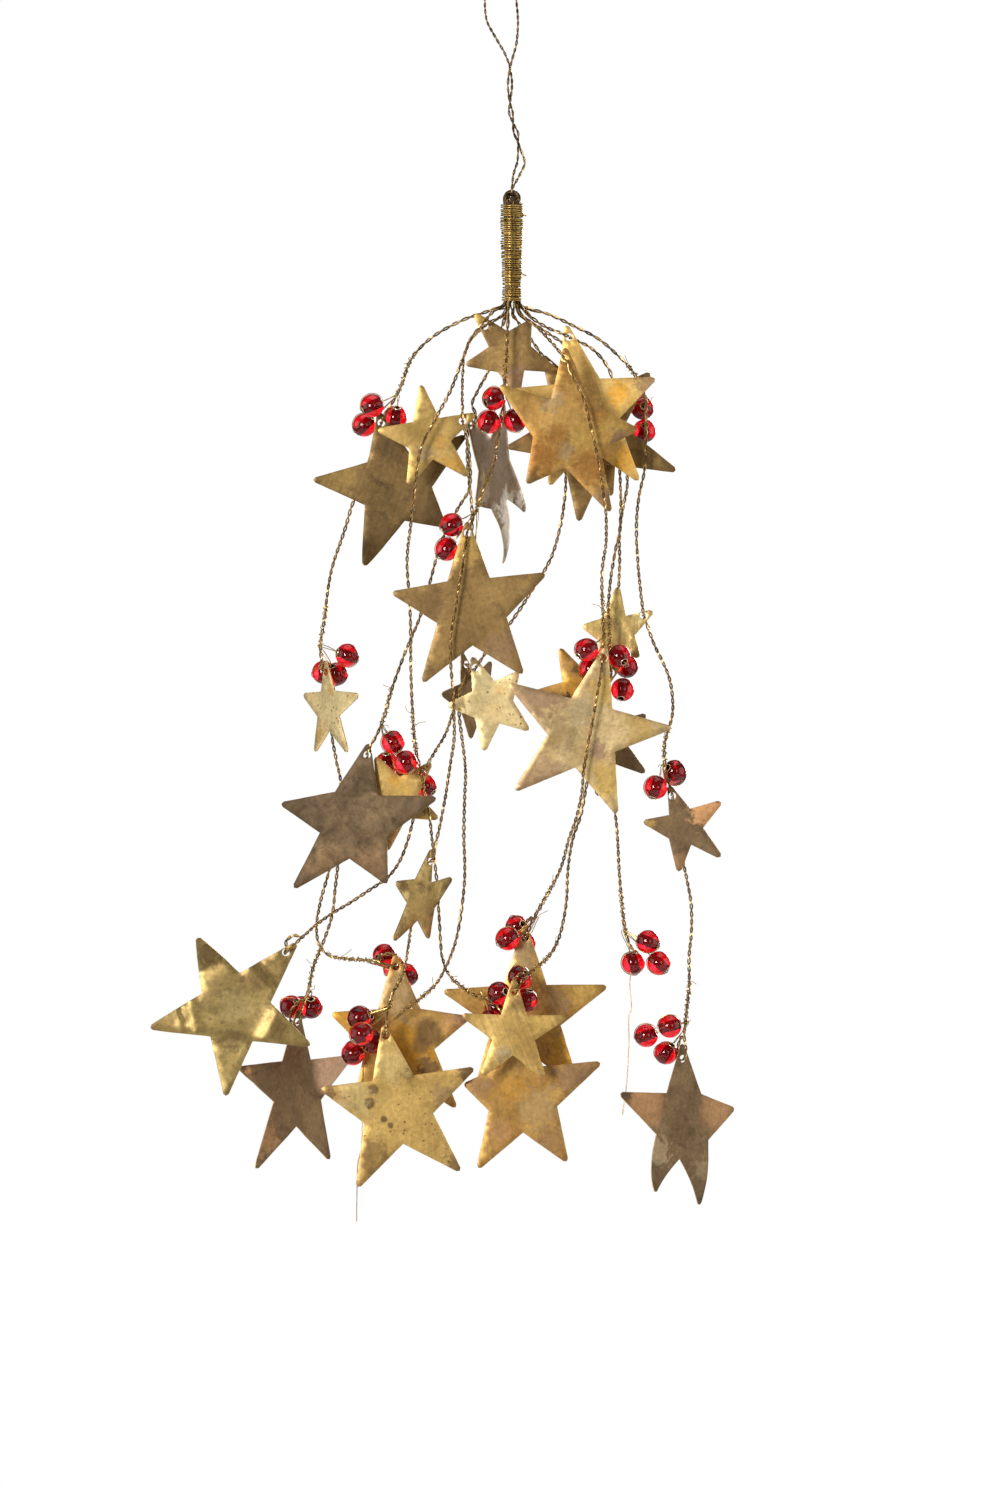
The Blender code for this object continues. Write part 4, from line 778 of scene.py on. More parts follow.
def star_outline(star):
    """The flat star's edge round its middle, anticlockwise, with rounded tips."""
    arms = star_arms(star)
    ways = [arm.normalized() for arm in arms]
    waists = [(a + b).normalized() * star.waist for a, b in zip(ways, ways[1:] + ways[:1])]
    outline = []
    for arm, way, before, after in zip(arms, ways, waists[-1:] + waists, waists):
        centre = arm - way * TIP_ROUNDING
        angles = edge_angle(centre, before, 1), math.atan2(way.y, way.x), edge_angle(centre, after, -1)
        outline += [centre + Vector((math.cos(a), math.sin(a))) * TIP_ROUNDING for a in angles]
        outline.append(after)
    return outline


def in_plane(direction, normal):
    """The unit part of a direction that lies in the plane with this normal."""
    return (direction - normal * direction.dot(normal)).normalized()


def threading(star, way, before, after):
    """Points that carry a strand steeply through a star's hole, or hook it in if nothing comes after."""
    place = star_frame(star)
    hole = place.translation
    facing = place.to_3x3() @ Vector((0, 0, way))
    reach = STRAND_DIAMETER / 2 + SHEET_THICKNESS / 2 + THREAD_GAP
    approach = in_plane(before - hole, facing)
    first = hole + (facing * THREAD_RISE + approach * THREAD_RUN) * reach
    if after is None:
        upward = in_plane(Vector((0, 0, 1)), facing)
        entry = (facing + approach * HOOK_SLIDE) * reach
        hook = [hole + (upward * run - facing * rise) * reach for rise, run in HOOK_POINTS]
        return [first, hole + entry, hole - entry, *hook]
    leave = in_plane(after - hole, facing)
    crossing = (facing - (leave - approach).normalized() * THREAD_SLIDE) * reach
    last = hole + (leave * THREAD_RUN - facing * THREAD_RISE) * reach
    return [first, hole + crossing, hole - crossing, last]


def stem_axis():
    """The middle of the eye, on the stem's axis."""
    return Vector((EYE_OFFSET, 0, -EYE_DROP))


def stem_foot():
    """The middle of the stem's foot, where the strands come out."""
    return stem_axis() - Vector((0, 0, EYE_HEIGHT + STEM_LENGTH))


def binding_span():
    """The heights between which the binding lies, top first."""
    foot = stem_foot().z
    return foot + STEM_LENGTH, foot + BINDING_FOOT


def strand_top(name):
    """Where a strand leaves the stem's foot."""
    if name in CORE_SIDES:
        offset = Vector((STRAND_CORE_OFFSET * CORE_SIDES[name], 0, 0))
    else:
        angle = math.radians(RING_ANGLES[name])
        offset = Vector((math.cos(angle), math.sin(angle), 0)) * STRAND_RING_RADIUS
    return stem_foot() + offset - Vector((0, 0, CLEARANCE))


def route_point(stop):
    """The point of a plain stop, or the hole of a star that the strand threads."""
    if stop[0] in STARS:
        return star_frame(STARS[stop[0]]).translation
    return picture(*stop)


def loop_twist_leg(side):
    """One leg's points along the twist, top to bottom, with side 1 or -1."""
    points = []
    for row, column, half_gap, degrees in LOOP_TWIST:
        turn = math.radians(degrees)
        offset = Vector((math.cos(turn), math.sin(turn), 0)) * half_gap * MM * side
        points.append(picture(column, row) + offset)
    return points


def add_object(name, data):
    """A new object in the scene."""
    obj = bpy.data.objects.new(name, data)
    bpy.context.scene.collection.objects.link(obj)
    return obj


class Shape:
    """Corners, faces and the finish of each face, for a piece in the making."""

    def __init__(self):
        self.corners = []
        self.faces = []
        self.finishes = []

    def ring_faces(self, first, second, sides, finish):
        """Closes the wall between two rings of corners, given where each ring starts."""
        for k in range(sides):
            after = (k + 1) % sides
            self.faces.append((first + k, first + after, second + after, second + k))
            self.finishes.append(finish)

    def tube(self, line, radius, sides=WIRE_SIDES):
        """Adds a round wire along a line, with flat ends."""
        start = len(self.corners)
        turns = round_turns(sides)
        for point, (across, up) in zip(line, carried_frames(line)):
            self.corners += [point + spoke(across, up, turn) * radius for turn in turns]
        for i in range(len(line) - 1):
            self.ring_faces(start + i * sides, start + (i + 1) * sides, sides, 0)
        end = start + (len(line) - 1) * sides
        self.faces += [tuple(range(start + sides - 1, start - 1, -1)), tuple(range(end, end + sides))]
        self.finishes += [0, 0]

    def turned(self, profile, centre, axis, sides, finishes):
        """Adds a closed profile of (radius, height) turned round an axis, with a finish for each step."""
        across = axis.orthogonal().normalized()
        up = axis.cross(across)
        start = len(self.corners)
        for radius, height in profile:
            for turn in round_turns(sides):
                self.corners.append(centre + axis * height + spoke(across, up, turn) * radius)
        for i, finish in enumerate(finishes):
            after = (i + 1) % len(profile)
            self.ring_faces(start + i * sides, start + after * sides, sides, finish)

    def piece(self, name, materials, body, nodes=(), place=None):
        """The finished object, riding a body and standing for CAD nodes."""
        mesh = bpy.data.meshes.new(name)
        mesh.from_pydata(self.corners, [], self.faces)
        mesh.polygons.foreach_set("material_index", self.finishes)
        mesh.polygons.foreach_set("use_smooth", [True] * len(self.faces))
        for material in materials:
            mesh.materials.append(material)
        mesh.set_sharp_from_angle(angle=math.radians(SHARP_ANGLE))
        obj = add_object(name, mesh)
        if place is not None:
            obj.matrix_world = place
        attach(obj, body)
        if nodes:
            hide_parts(*nodes)
        return obj


def carried_frames(line):
    """Two directions square to a line at each of its points, which turn as little as they can."""
    across = None
    for i in range(len(line)):
        along = (line[min(i + 1, len(line) - 1)] - line[max(i - 1, 0)]).normalized()
        across = along.orthogonal() if across is None else across - along * across.dot(along)
        across.normalize()
        yield across.copy(), along.cross(across)


def spoke(across, up, turn):
    """A direction at an angle from one direction towards another that is square to it."""
    return across * math.cos(turn) + up * math.sin(turn)


def round_turns(count):
    """The angles of points spaced evenly round a circle."""
    return [2 * math.pi * k / count for k in range(count)]


def half_turns(steps):
    """The angles of points spaced evenly over half a circle, both ends included."""
    return [math.pi * k / steps for k in range(steps + 1)]


def wound(line, turns, radii):
    """A line that winds round another, with an angle and a radius for each point."""
    return [
        point + spoke(across, up, turn) * radius
        for point, (across, up), turn, radius in zip(line, carried_frames(line), turns, radii)
    ]


def line_length(line):
    return sum((b - a).length for a, b in zip(line, line[1:]))


def wander(position, seed, size=1.0):
    """A smooth random value from about -1 to 1 along a line."""
    return noise.noise(Vector((position / size, WANDER_APART * seed, WANDER_PLANE)))


def sheet_noise(point, size, offset):
    """A smooth random value from about -1 to 1 over a flat sheet."""
    return noise.noise(Vector((point.x / size, point.y / size, offset)))


def waves(position, parts):
    """A sum of smooth random values along a line, each given as (share, seed, size)."""
    return sum(share * wander(position, seed, size) for share, seed, size in parts)


def drawn(draw, ranges):
    """A vector of random values, one from each range."""
    return Vector([draw.uniform(low, high) for low, high in ranges])


def twisted_pair(line, turn_length, radius, slack, seed, loose=0.0):
    """Two lines wound round a centre line, looser in places, with turns longer by a share at its top."""
    turns = []
    radii = []
    phase = 0.0
    travelled = 0.0
    for before, point in zip([line[0], *line], line):
        step = (point - before).length
        travelled += step
        length = turn_length * (1 + loose * math.exp(-travelled / STRAND_SETTLE))
        phase += 2 * math.pi * step / length * (1 + TWIST_UNEVEN * wander(travelled, seed, TWIST_PATCH))
        turns.append(phase)
        radii.append(radius + slack * max(0, wander(travelled, seed + SLACK_SEED, SLACK_PATCH)))
    return wound(line, turns, radii), wound(line, [turn + math.pi for turn in turns], radii)


def linear(colour):
    """A colour for a shader from sRGB values of 0 to 255."""
    shares = (value / 255 for value in colour)
    return (*(s / 12.92 if s <= 0.04045 else ((s + 0.055) / 1.055) ** 2.4 for s in shares), 1.0)


def add_node(tree, kind, values):
    """A shader node with these inputs: a value, or the output that links to it."""
    made = tree.nodes.new("ShaderNode" + kind)
    for name, value in values.items():
        if isinstance(value, bpy.types.NodeSocket):
            tree.links.new(value, made.inputs[name])
        else:
            made.inputs[name].default_value = value
    return made


def noise_value(tree, place, scale, detail=2.0, roughness=0.5, distortion=0.0):
    values = {"Vector": place, "Scale": scale, "Detail": detail}
    values.update({"Roughness": roughness, "Distortion": distortion})
    return add_node(tree, "TexNoise", values).outputs["Fac"]


def ranged(tree, value, low, high, to_low=0.0, to_high=1.0):
    values = {"Value": value, "From Min": low, "From Max": high, "To Min": to_low, "To Max": to_high}
    return add_node(tree, "MapRange", values).outputs["Result"]


def mixed(tree, factor, first, second, blend="MIX"):
    made = tree.nodes.new("ShaderNodeMix")
    made.data_type = "RGBA"
    made.blend_type = blend
    for name, value in (("Factor_Float", factor), ("A_Color", first), ("B_Color", second)):
        socket = next(s for s in made.inputs if s.identifier == name)
        if isinstance(value, bpy.types.NodeSocket):
            tree.links.new(value, socket)
        else:
            socket.default_value = value
    return next(s for s in made.outputs if s.identifier == "Result_Color")


def new_material(name, metallic, roughness):
    material = bpy.data.materials.new(name)
    material.use_nodes = True
    shader = material.node_tree.nodes["Principled BSDF"]
    shader.inputs["Metallic"].default_value = metallic
    shader.inputs["Roughness"].default_value = roughness
    return material, material.node_tree, shader


def object_place(tree, seed, turn=0.0):
    """Texture places in the piece's own frame, turned about its normal and moved apart by a seed."""
    place = tree.nodes.new("ShaderNodeTexCoord").outputs["Object"]
    values = {"Vector": place, "Location": TEXTURE_APART * seed, "Rotation": (0, 0, turn)}
    return add_node(tree, "Mapping", values).outputs["Vector"]


def add_bump(tree, shader, height, strength, distance):
    values = {"Height": height, "Strength": strength, "Distance": distance}
    tree.links.new(add_node(tree, "Bump", values).outputs["Normal"], shader.inputs["Normal"])


def add_tones(tree, shader, factor, tones):
    """Colours a shader with a mix of two sRGB tones."""
    colour = mixed(tree, factor, *(linear(tone) for tone in tones))
    tree.links.new(colour, shader.inputs["Base Color"])


def brass_sheet(name, patina, marks, seed):
    """Aged sheet brass: two tones, cloudy stain, dark tips, placed marks, specks, mottling and scratches, all
    scaled by a brightness factor that is partly painted light.
    """
    finish = patina.finish
    material, tree, shader = new_material(name, SHEET_METALLIC, finish.roughness)
    place = object_place(tree, seed)
    turned = object_place(tree, seed, math.pi / 2 + BRUSH_SWING * math.sin(BRUSH_SEED * seed))
    brushed = add_node(tree, "VectorMath", {0: turned, 1: BRUSHING})
    brushed.operation = "MULTIPLY"
    tone = ranged(tree, noise_value(tree, place, *TONE_NOISE), *TONE_EDGES)
    clouds = noise_value(tree, place, *CLOUD_NOISE)
    stain = ranged(tree, clouds, *(1 - patina.amount + edge for edge in STAIN_EDGES))
    mottle = noise_value(tree, place, *MOTTLE_NOISE)
    scratches = noise_value(tree, brushed.outputs[0], *SCRATCH_NOISE)
    reach = tree.nodes.new("ShaderNodeAttribute")
    reach.attribute_name = "reach"
    tip = ranged(tree, reach.outputs["Fac"], *TIP_EDGES, 0.0, TIP_STAIN)
    colour = mixed(tree, tone, linear(finish.main), linear(finish.second))
    colour = mixed(tree, stain, colour, linear(finish.stain))
    colour = mixed(tree, tip, colour, linear(finish.stain))
    for mark, centre in marks:
        colour = marked(tree, colour, mark, centre)
    if patina.specks:
        cells = add_node(tree, "TexVoronoi", {"Vector": place, "Scale": SPECK_SCALE, "Randomness": 1})
        dot = ranged(tree, cells.outputs["Distance"], *SPECK_EDGES, patina.specks, 0.0)
        some = ranged(tree, clouds, *SPECK_CLOUDS)
        colour = mixed(tree, product(tree, dot, some), colour, linear(SPECK))
    # The mottle's levels carry each star's brightness factor, which is partly painted light.
    flecks = ranged(tree, mottle, *GRAIN_EDGES, *(patina.shade * level for level in FLECK_LEVELS))
    strokes = ranged(tree, scratches, *GRAIN_EDGES, 1 - patina.strokes, 1 + patina.strokes)
    light = product(tree, flecks, strokes)
    colour = mixed(tree, 1.0, colour, light, "MULTIPLY")
    tree.links.new(colour, shader.inputs["Base Color"])
    rough = ranged(tree, clouds, *ROUGH_EDGES, *(finish.roughness + change for change in ROUGH_CHANGES))
    tree.links.new(rough, shader.inputs["Roughness"])
    add_bump(tree, shader, light, SHEET_BUMP, SHEET_GRAIN)
    return material


def marked(tree, colour, mark, centre):
    """The colour with one soft, uneven mark on it, centred on a flat point of the sheet."""
    place = tree.nodes.new("ShaderNodeTexCoord").outputs["Object"]
    apart = add_node(tree, "VectorMath", {0: place, 1: centre.to_3d()})
    apart.operation = "DISTANCE"
    radius = mark.radius * MM
    uneven = noise_value(tree, place, MARK_SCALE / radius, *MARK_NOISE)
    reach = add_node(tree, "Math", {0: uneven, 1: -mark.ragged * radius, 2: apart.outputs["Value"]})
    reach.operation = "MULTIPLY_ADD"
    rim = (MARK_RIM - mark.ragged / 2) * radius
    share = ranged(tree, reach.outputs[0], rim, rim - MARK_FADE * radius, 0.0, mark.strength)
    return mixed(tree, share, colour, linear(mark.colour))


def product(tree, first, second):
    made = add_node(tree, "Math", {0: first, 1: second})
    made.operation = "MULTIPLY"
    return made.outputs[0]


def worn_metal(name, first, second, roughness, scale, metallic):
    """Wire and cut edges: two tones in short patches, with a fine drawn texture."""
    material, tree, shader = new_material(name, metallic, roughness)
    place = object_place(tree, WIRE_SEED * scale)
    patches = noise_value(tree, place, scale, *WIRE_NOISE)
    add_tones(tree, shader, ranged(tree, patches, *TONE_EDGES), (first, second))
    add_bump(tree, shader, noise_value(tree, place, WIRE_FINENESS * scale), WIRE_BUMP, WIRE_GRAIN)
    return material


def red_glass():
    """Clear red glass, a little uneven in depth of colour."""
    material, tree, shader = new_material("red_glass", 0.0, GLASS_ROUGHNESS)
    shader.inputs["Transmission Weight"].default_value = 1.0
    shader.inputs["IOR"].default_value = GLASS_IOR
    uneven = noise_value(tree, object_place(tree, GLASS_SEED), GLASS_SCALE)
    add_tones(tree, shader, ranged(tree, uneven, *GLASS_EDGES), GLASS_TONES)
    return material


def edge_points(corners, step):
    """Points about a step apart along a closed ring of flat corners."""
    points = []
    for a, b in zip(corners, corners[1:] + corners[:1]):
        pieces = max(1, round((b - a).length / step))
        points += [a.lerp(b, i / pieces) for i in range(pieces)]
    return points


def near_ring(point, ring, distance):
    return any((point - corner).length < distance for corner in ring)


def sheet_points(star, seed):
    """The star's hand-cut edge, its hole's edge and a grid between them, round the star's middle."""
    edge = []
    for i, point in enumerate(edge_points(star_outline(star), EDGE_STEP)):
        edge.append(point + point.normalized() * CUT_WOBBLE * wander(i, seed, CUT_PATCH))
    middle = on_sheet(star, star.middle)
    ways = [Vector((math.cos(turn), math.sin(turn))) for turn in round_turns(HOLE_SIDES)]
    hole = [way * HOLE_RADIUS - middle for way in ways]
    count = math.ceil(max(point.length for point in edge) / GRID_STEP)
    grid = []
    for row in range(-count, count + 1):
        for column in range(-count, count + 1):
            point = Vector((column + 0.5 * (row % 2), row * math.sqrt(0.75))) * GRID_STEP
            if not near_ring(point, edge, EDGE_MARGIN) and not near_ring(point, hole, HOLE_MARGIN):
                grid.append(point)
    return edge, hole, grid


def flat_star(star, seed):
    """The star cut into triangles round its open hole: its flat points and faces."""
    edge, hole, grid = sheet_points(star, seed)
    rings = [list(range(len(edge))), list(range(len(edge), len(edge) + len(hole)))]
    edges = [pair for ring in rings for pair in zip(ring, ring[1:] + ring[:1])]
    cut = geometry.delaunay_2d_cdt(edge + hole + grid, edges, [], 1, 1e-9)
    points = cut[0]
    middle = on_sheet(star, star.middle)
    opening = HOLE_RADIUS * math.cos(math.pi / HOLE_SIDES)
    faces = []
    for face in cut[2]:
        centre = sum((points[corner] for corner in face), Vector((0, 0))) / len(face)
        if (centre + middle).length > opening:
            faces.append(face)
    used = sorted({corner for face in faces for corner in face})
    places = {corner: i for i, corner in enumerate(used)}
    return [points[corner] for corner in used], [tuple(places[c] for c in face) for face in faces]


def arm_reach(arms, point):
    """How far out a flat point lies, as a share of the arm that it lies along."""
    return max(point.dot(arm) / arm.length_squared for arm in arms)


def creased(point, way, place, width, height):
    """How far a crease across one arm lifts a flat point off the sheet."""
    along = point.dot(way) - place * MM
    if point.dot(way) < CREASE_SPREAD * point.length:
        return 0.0
    return height * MM * math.exp(-((along / (width * MM)) ** 2))


def bent(point, arm, start, degrees):
    """A sheet point after an arm is curled out of the sheet's plane, as in the CAD source."""
    along = arm.normalized().to_3d()
    curve = math.radians(degrees) / (arm.length - start * MM)
    past = point.dot(along) - start * MM
    if past <= 0:
        return point
    moved = point + along * (math.sin(curve * past) / curve - past)
    moved.z += (1 - math.cos(curve * past)) / curve
    return moved


def make_star(name, star, seed, cut_edge):
    """A hand-cut, slightly warped and hammered plate with its own patina."""
    flat, faces = flat_star(star, seed)
    arms = star_arms(star)
    middle = on_sheet(star, star.middle)
    shape = Shape()
    for point in flat:
        away = min(1.0, (point + middle).length / HOLE_FLAT)
        warp = WARP * away * sheet_noise(point, WARP_SIZE, WARP_APART * seed)
        dents = HAMMER * sheet_noise(point, HAMMER_SIZE, HAMMER_APART * seed)
        folds = sum(creased(point, arms[arm].normalized(), *fold) for arm, *fold in FOLDS.get(name, ()))
        corner = Vector((point.x, point.y, warp + dents + folds))
        for arm, start, degrees in star.bends:
            corner = bent(corner, arms[arm], start, degrees)
        shape.corners.append(corner + middle.to_3d())
    shape.faces = faces
    shape.finishes = [0] * len(faces)
    marks = [Mark(*values) for values in MARKS.get(name, ())]
    placed = [(mark, on_sheet(star, (mark.column, mark.row))) for mark in marks]
    sheet = brass_sheet("brass_" + name, PATINAS[name], placed, seed)
    obj = shape.piece(name + "_sheet", [sheet, cut_edge], name, [name], star_frame(star))
    reach = obj.data.attributes.new("reach", "FLOAT", "POINT")
    reach.data.foreach_set("value", [arm_reach(arms, point) for point in flat])
    thicken = obj.modifiers.new("sheet", "SOLIDIFY")
    thicken.thickness = SHEET_THICKNESS
    thicken.offset = 0
    thicken.material_offset_rim = 1
    bevel = obj.modifiers.new("edge", "BEVEL")
    bevel.width = SHEET_BEVEL
    bevel.segments = 2
    bevel.limit_method = "ANGLE"
    bevel.angle_limit = math.radians(BEVEL_ANGLE)


def strand_line(name):
    """The strand's smooth centre line, from inside the binding to its end."""
    top = strand_top(name)
    spread = (top - stem_foot()) * STRAND_SPREAD
    points = [top - spread + Vector((0, 0, STRAND_TUCK)), top + spread + Vector((0, 0, CLEARANCE))]
    route = ROUTES[name]
    for stop, after in zip(route, [*route[1:], None]):
        if stop[0] not in STARS:
            points.append(picture(*stop))
            continue
        target = None if after is None else route_point(after)
        points += threading(STARS[stop[0]], stop[1], points[-1], target)
    line = smooth_curve(points, STRAND_STEP)
    if is_hooked(name):
        line += hook_return(line)
    return line


def is_hooked(name):
    """Whether a strand's far end hooks into a star."""
    return ROUTES[name][-1][0] in STARS


def hook_return(line):
    """Points that bring a hooked end back over the star's tip to its own strand."""
    last = len(line) - 1
    while line_length(line[last:]) < 2 * STRAND_RETURN:
        last -= 1
    meeting = line[last] + Vector((0, STRAND_DIAMETER, 0))
    middle = line[-1].lerp(meeting, 0.5) + Vector((0, 0, STRAND_DIAMETER))
    return smooth_curve([line[-1], middle, meeting], STRAND_STEP)[1:]


def add_cord(line, start):
    """Measures a cord's centre line and lists its points, and keeps neither."""
    line_length(line)
    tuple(start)
    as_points(line)


def make_strand(name, line, seed, bronze):
    """A twisted pair of wires along a strand's centre line."""
    shape = Shape()
    for wire in twisted_pair(line, STRAND_TURN, STRAND_PAIR_RADIUS, STRAND_SLACK, seed, STRAND_LOOSE):
        shape.tube(wire, STRAND_WIRE_RADIUS)
    obj = shape.piece(name + "_twist", [bronze], "bunch", [name])
    far_end = "object" if is_hooked(name) else "knot"
    add_cord(line, strand_top(name))


def loop_route():
    """The hanging loop's route: over the hook, down one leg, under the eye and back up the other."""
    apex = Vector((0, 0, LOOP_DIAMETER / 2))
    reach = EYE_WIRE_RADIUS + CLEARANCE + LOOP_DIAMETER / 2
    arch = stem_axis() + Vector((0, 0, EYE_RADIUS))
    under = [
        arch + Vector((0, -math.cos(turn), -math.sin(turn))) * reach for turn in half_turns(LOOP_BEND_SIDES)
    ]
    rise = Vector((0, 0, EYE_WIRE_RADIUS))
    left = [picture(*point) for point in LOOP_LEFT] + loop_twist_leg(1)
    right = [picture(*point) for point in LOOP_RIGHT] + loop_twist_leg(-1)
    return [apex, *left, under[0] + rise, *under, under[-1] + rise, *reversed(right), apex]


def make_hanging_loop(wire):
    """The thin twisted pair that hangs on the hook and carries the eye."""
    line = smooth_curve(loop_route(), LOOP_STEP)
    shape = Shape()
    for strand in twisted_pair(line, LOOP_TURN, LOOP_WIRE_RADIUS, LOOP_SLACK, LOOP_SEED):
        shape.tube(strand, LOOP_WIRE_RADIUS, FINE_SIDES)
    obj = shape.piece("hanging_loop_twist", [wire], "hanger", ["hanging_loop"])
    add_cord(line, line[0])


def stem_radius(share):
    """The bundle's radius under the binding, from its top to its neck."""
    return STEM_TOP_RADIUS + (STEM_NECK_RADIUS - STEM_TOP_RADIUS) * share


def add_bundle(shape, draw):
    """The wires that show round the binding, and a core that closes the gaps between them."""
    axis = stem_axis()
    top, bottom = binding_span()
    for start in round_turns(BUNDLE_WIRES):
        crown = top + EYE_FILL * draw.uniform(*BUNDLE_CROWN)
        line = []
        for i in range(BUNDLE_STEPS + 1):
            share = i / BUNDLE_STEPS
            turn = start + BUNDLE_LEAN * share
            radius = stem_radius(share) - BUNDLE_WIRE_RADIUS + CLEARANCE / 2
            offset = Vector((math.cos(turn), math.sin(turn), 0)) * radius
            line.append(Vector((axis.x, axis.y, crown + (bottom - crown) * share)) + offset)
        shape.tube(line, BUNDLE_WIRE_RADIUS)
    core = [Vector((axis.x, axis.y, height)) for height in (top + EYE_FILL / 2, bottom)]
    shape.tube(core, STEM_CORE_RADIUS, STEM_CORE_SIDES)


def add_eye(shape):
    """The wires that arch over the eye, and the loose ones across it."""
    axis = stem_axis()
    ways = [Vector((math.cos(turn), 0, math.sin(turn))) for turn in half_turns(EYE_STEPS)]
    arch = [axis + way * EYE_RADIUS for way in ways]
    drop = Vector((0, 0, EYE_HEIGHT + STEM_TOP_RADIUS))
    route = smooth_curve([arch[0] - drop, *arch, arch[-1] - drop], STEM_WIRE_STEP)
    count = len(route)
    for k, start in enumerate(round_turns(EYE_WIRES)):
        turns = [start + EYE_TWIST * i / count + EYE_UNEVEN * wander(i, k, EYE_PATCH) for i in range(count)]
        shape.tube(wound(route, turns, [EYE_WIRE_OFFSET] * count), EYE_STRAND_RADIUS, THICK_SIDES)
    for side in (-1, 1):
        for ends in EYE_TANGLE:
            first, last = (axis + Vector((x * MM, side * EYE_TANGLE_DEPTH, z * MM)) for x, z in ends)
            stops = [first, first.lerp(last, 0.5) + EYE_TANGLE_BOW, last]
            shape.tube(smooth_curve(stops, STEM_WIRE_STEP), EYE_TANGLE_RADIUS)


def add_strays(shape, lines, draw):
    """Wires that cross between neighbouring strands at the stem's foot, and some that wind along them."""
    first, middle, last = STRAY_CROSSING
    for strand, beside in zip(lines, lines[1:] + lines[:1]):
        crossing = strand[middle].lerp(beside[middle], STRAY_CROSSING_SHARE)
        route = smooth_curve([strand[first], crossing, beside[last]], STEM_WIRE_STEP)
        shape.tube(route, STRAY_RADIUS, FINE_SIDES)
    for strand in lines:
        stretch = strand[: round(draw.uniform(*STRAY_STEPS))]
        start = draw.uniform(0, 2 * math.pi)
        turns = [start + STRAY_TURN * i for i in range(len(stretch))]
        shape.tube(wound(stretch, turns, [STRAY_OFFSET] * len(stretch)), STRAY_RADIUS, FINE_SIDES)


def make_stem(lines, draw, bronze):
    """The gathered bundle with its eye, and the strays where the strands come out."""
    shape = Shape()
    add_bundle(shape, draw)
    add_eye(shape)
    add_strays(shape, lines, draw)
    shape.piece("stem_bundle", [bronze], "bunch", ["stem"])


def make_binding(gold, draw):
    """Many turns of fine wire round the bundle, uneven and gappy, with cut ends standing out."""
    shape = Shape()
    axis = stem_axis()
    top, bottom = binding_span()
    count = BINDING_TURNS * BINDING_STEPS_PER_TURN
    line = []
    for i in range(count + 1):
        share = i / count
        turns = i / BINDING_STEPS_PER_TURN
        bulge = BINDING_BULGE * (1 + waves(turns, BINDING_BULGE_WAVES))
        radius = stem_radius(share) + 2 * CLEARANCE + bulge
        height = top + (bottom - top) * share + BINDING_DRIFT * waves(turns, BINDING_DRIFT_WAVES)
        turn = 2 * math.pi * turns
        line.append(Vector((axis.x + radius * math.cos(turn), axis.y + radius * math.sin(turn), height)))
    shape.tube(line, BINDING_WIRE_RADIUS, THICK_SIDES)
    for _ in range(BINDING_ENDS):
        start = line[draw.randrange(count)]
        out = ((start - axis) * Vector((1, 1, 0))).normalized() + drawn(draw, BINDING_END_LEAN)
        stops = [start + out * stop * MM for stop in BINDING_END_STOPS]
        shape.tube(stops, BINDING_WIRE_RADIUS, FINE_SIDES)
    shape.piece("binding_coil", [gold], "bunch", ["binding_wire"])


def strung(beads, tie, chained):
    """Each bead with its bore's direction: on from bead to bead, or away from where the wire is tied."""
    starts = [tie, *beads] if chained else [tie] * len(beads)
    return [(bead, (bead - start).normalized()) for start, bead in zip(starts, beads)]


def bead_profile():
    """A bead's closed profile as (radius, height): round outside, then the bore's wall in three steps."""
    first = math.asin(BEAD_HOLE_RADIUS / BEAD_RADIUS)
    turns = [first + (math.pi - 2 * first) * i / BEAD_ROWS for i in range(BEAD_ROWS + 1)]
    outside = [(math.sin(turn) * BEAD_RADIUS, -math.cos(turn) * BEAD_RADIUS) for turn in turns]
    depth = outside[-1][1]
    return outside + [(BEAD_HOLE_RADIUS, depth / 3), (BEAD_HOLE_RADIUS, -depth / 3)]


def make_beads(name, strung_beads, materials):
    """Three pierced glass beads whose bore wall is painted dark maroon as shade, and a pale metal rim at each
    end of the bore.
    """
    shape = Shape()
    profile = bead_profile()
    finishes = [GLASS] * BEAD_ROWS + [BORE_SHADE] * (len(profile) - BEAD_ROWS)
    depth = math.sqrt(BEAD_RADIUS**2 - BEAD_HOLE_RADIUS**2)
    for bead, bore in strung_beads:
        shape.turned(profile, bead, bore, BEAD_SIDES, finishes)
        for end in (-depth, depth):
            rim = [
                (BEAD_HOLE_RADIUS + RIM_RADIUS * math.cos(turn), end + RIM_RADIUS * math.sin(turn))
                for turn in round_turns(RIM_SIDES)
            ]
            shape.turned(rim, bead, bore, RIM_STEPS, [RIM] * RIM_SIDES)
    shape.piece(name + "_glass", materials, "bunch", [name])


def tie_coil(line, row, seed):
    """The bead wire's uneven turns down the strand to the row where it leaves for the beads."""
    height = picture(0, row).z
    below = next((i for i, point in enumerate(line) if point.z <= height), len(line) - 1)
    first = below
    while first > 1 and line_length(line[first : below + 1]) < TIE_LENGTH:
        first -= 1
    stretch = line[first : below + 1]
    turns = []
    radii = []
    for i in range(len(stretch)):
        share = i / len(stretch)
        turns.append(2 * math.pi * (TIE_TURNS * share + TIE_UNEVEN * wander(share, seed, TIE_PATCH)))
        radii.append(TIE_RADIUS + TIE_SWELL * wander(share, seed + TIE_SWELL_SEED, TIE_SWELL_PATCH))
    return wound(stretch, turns, radii)


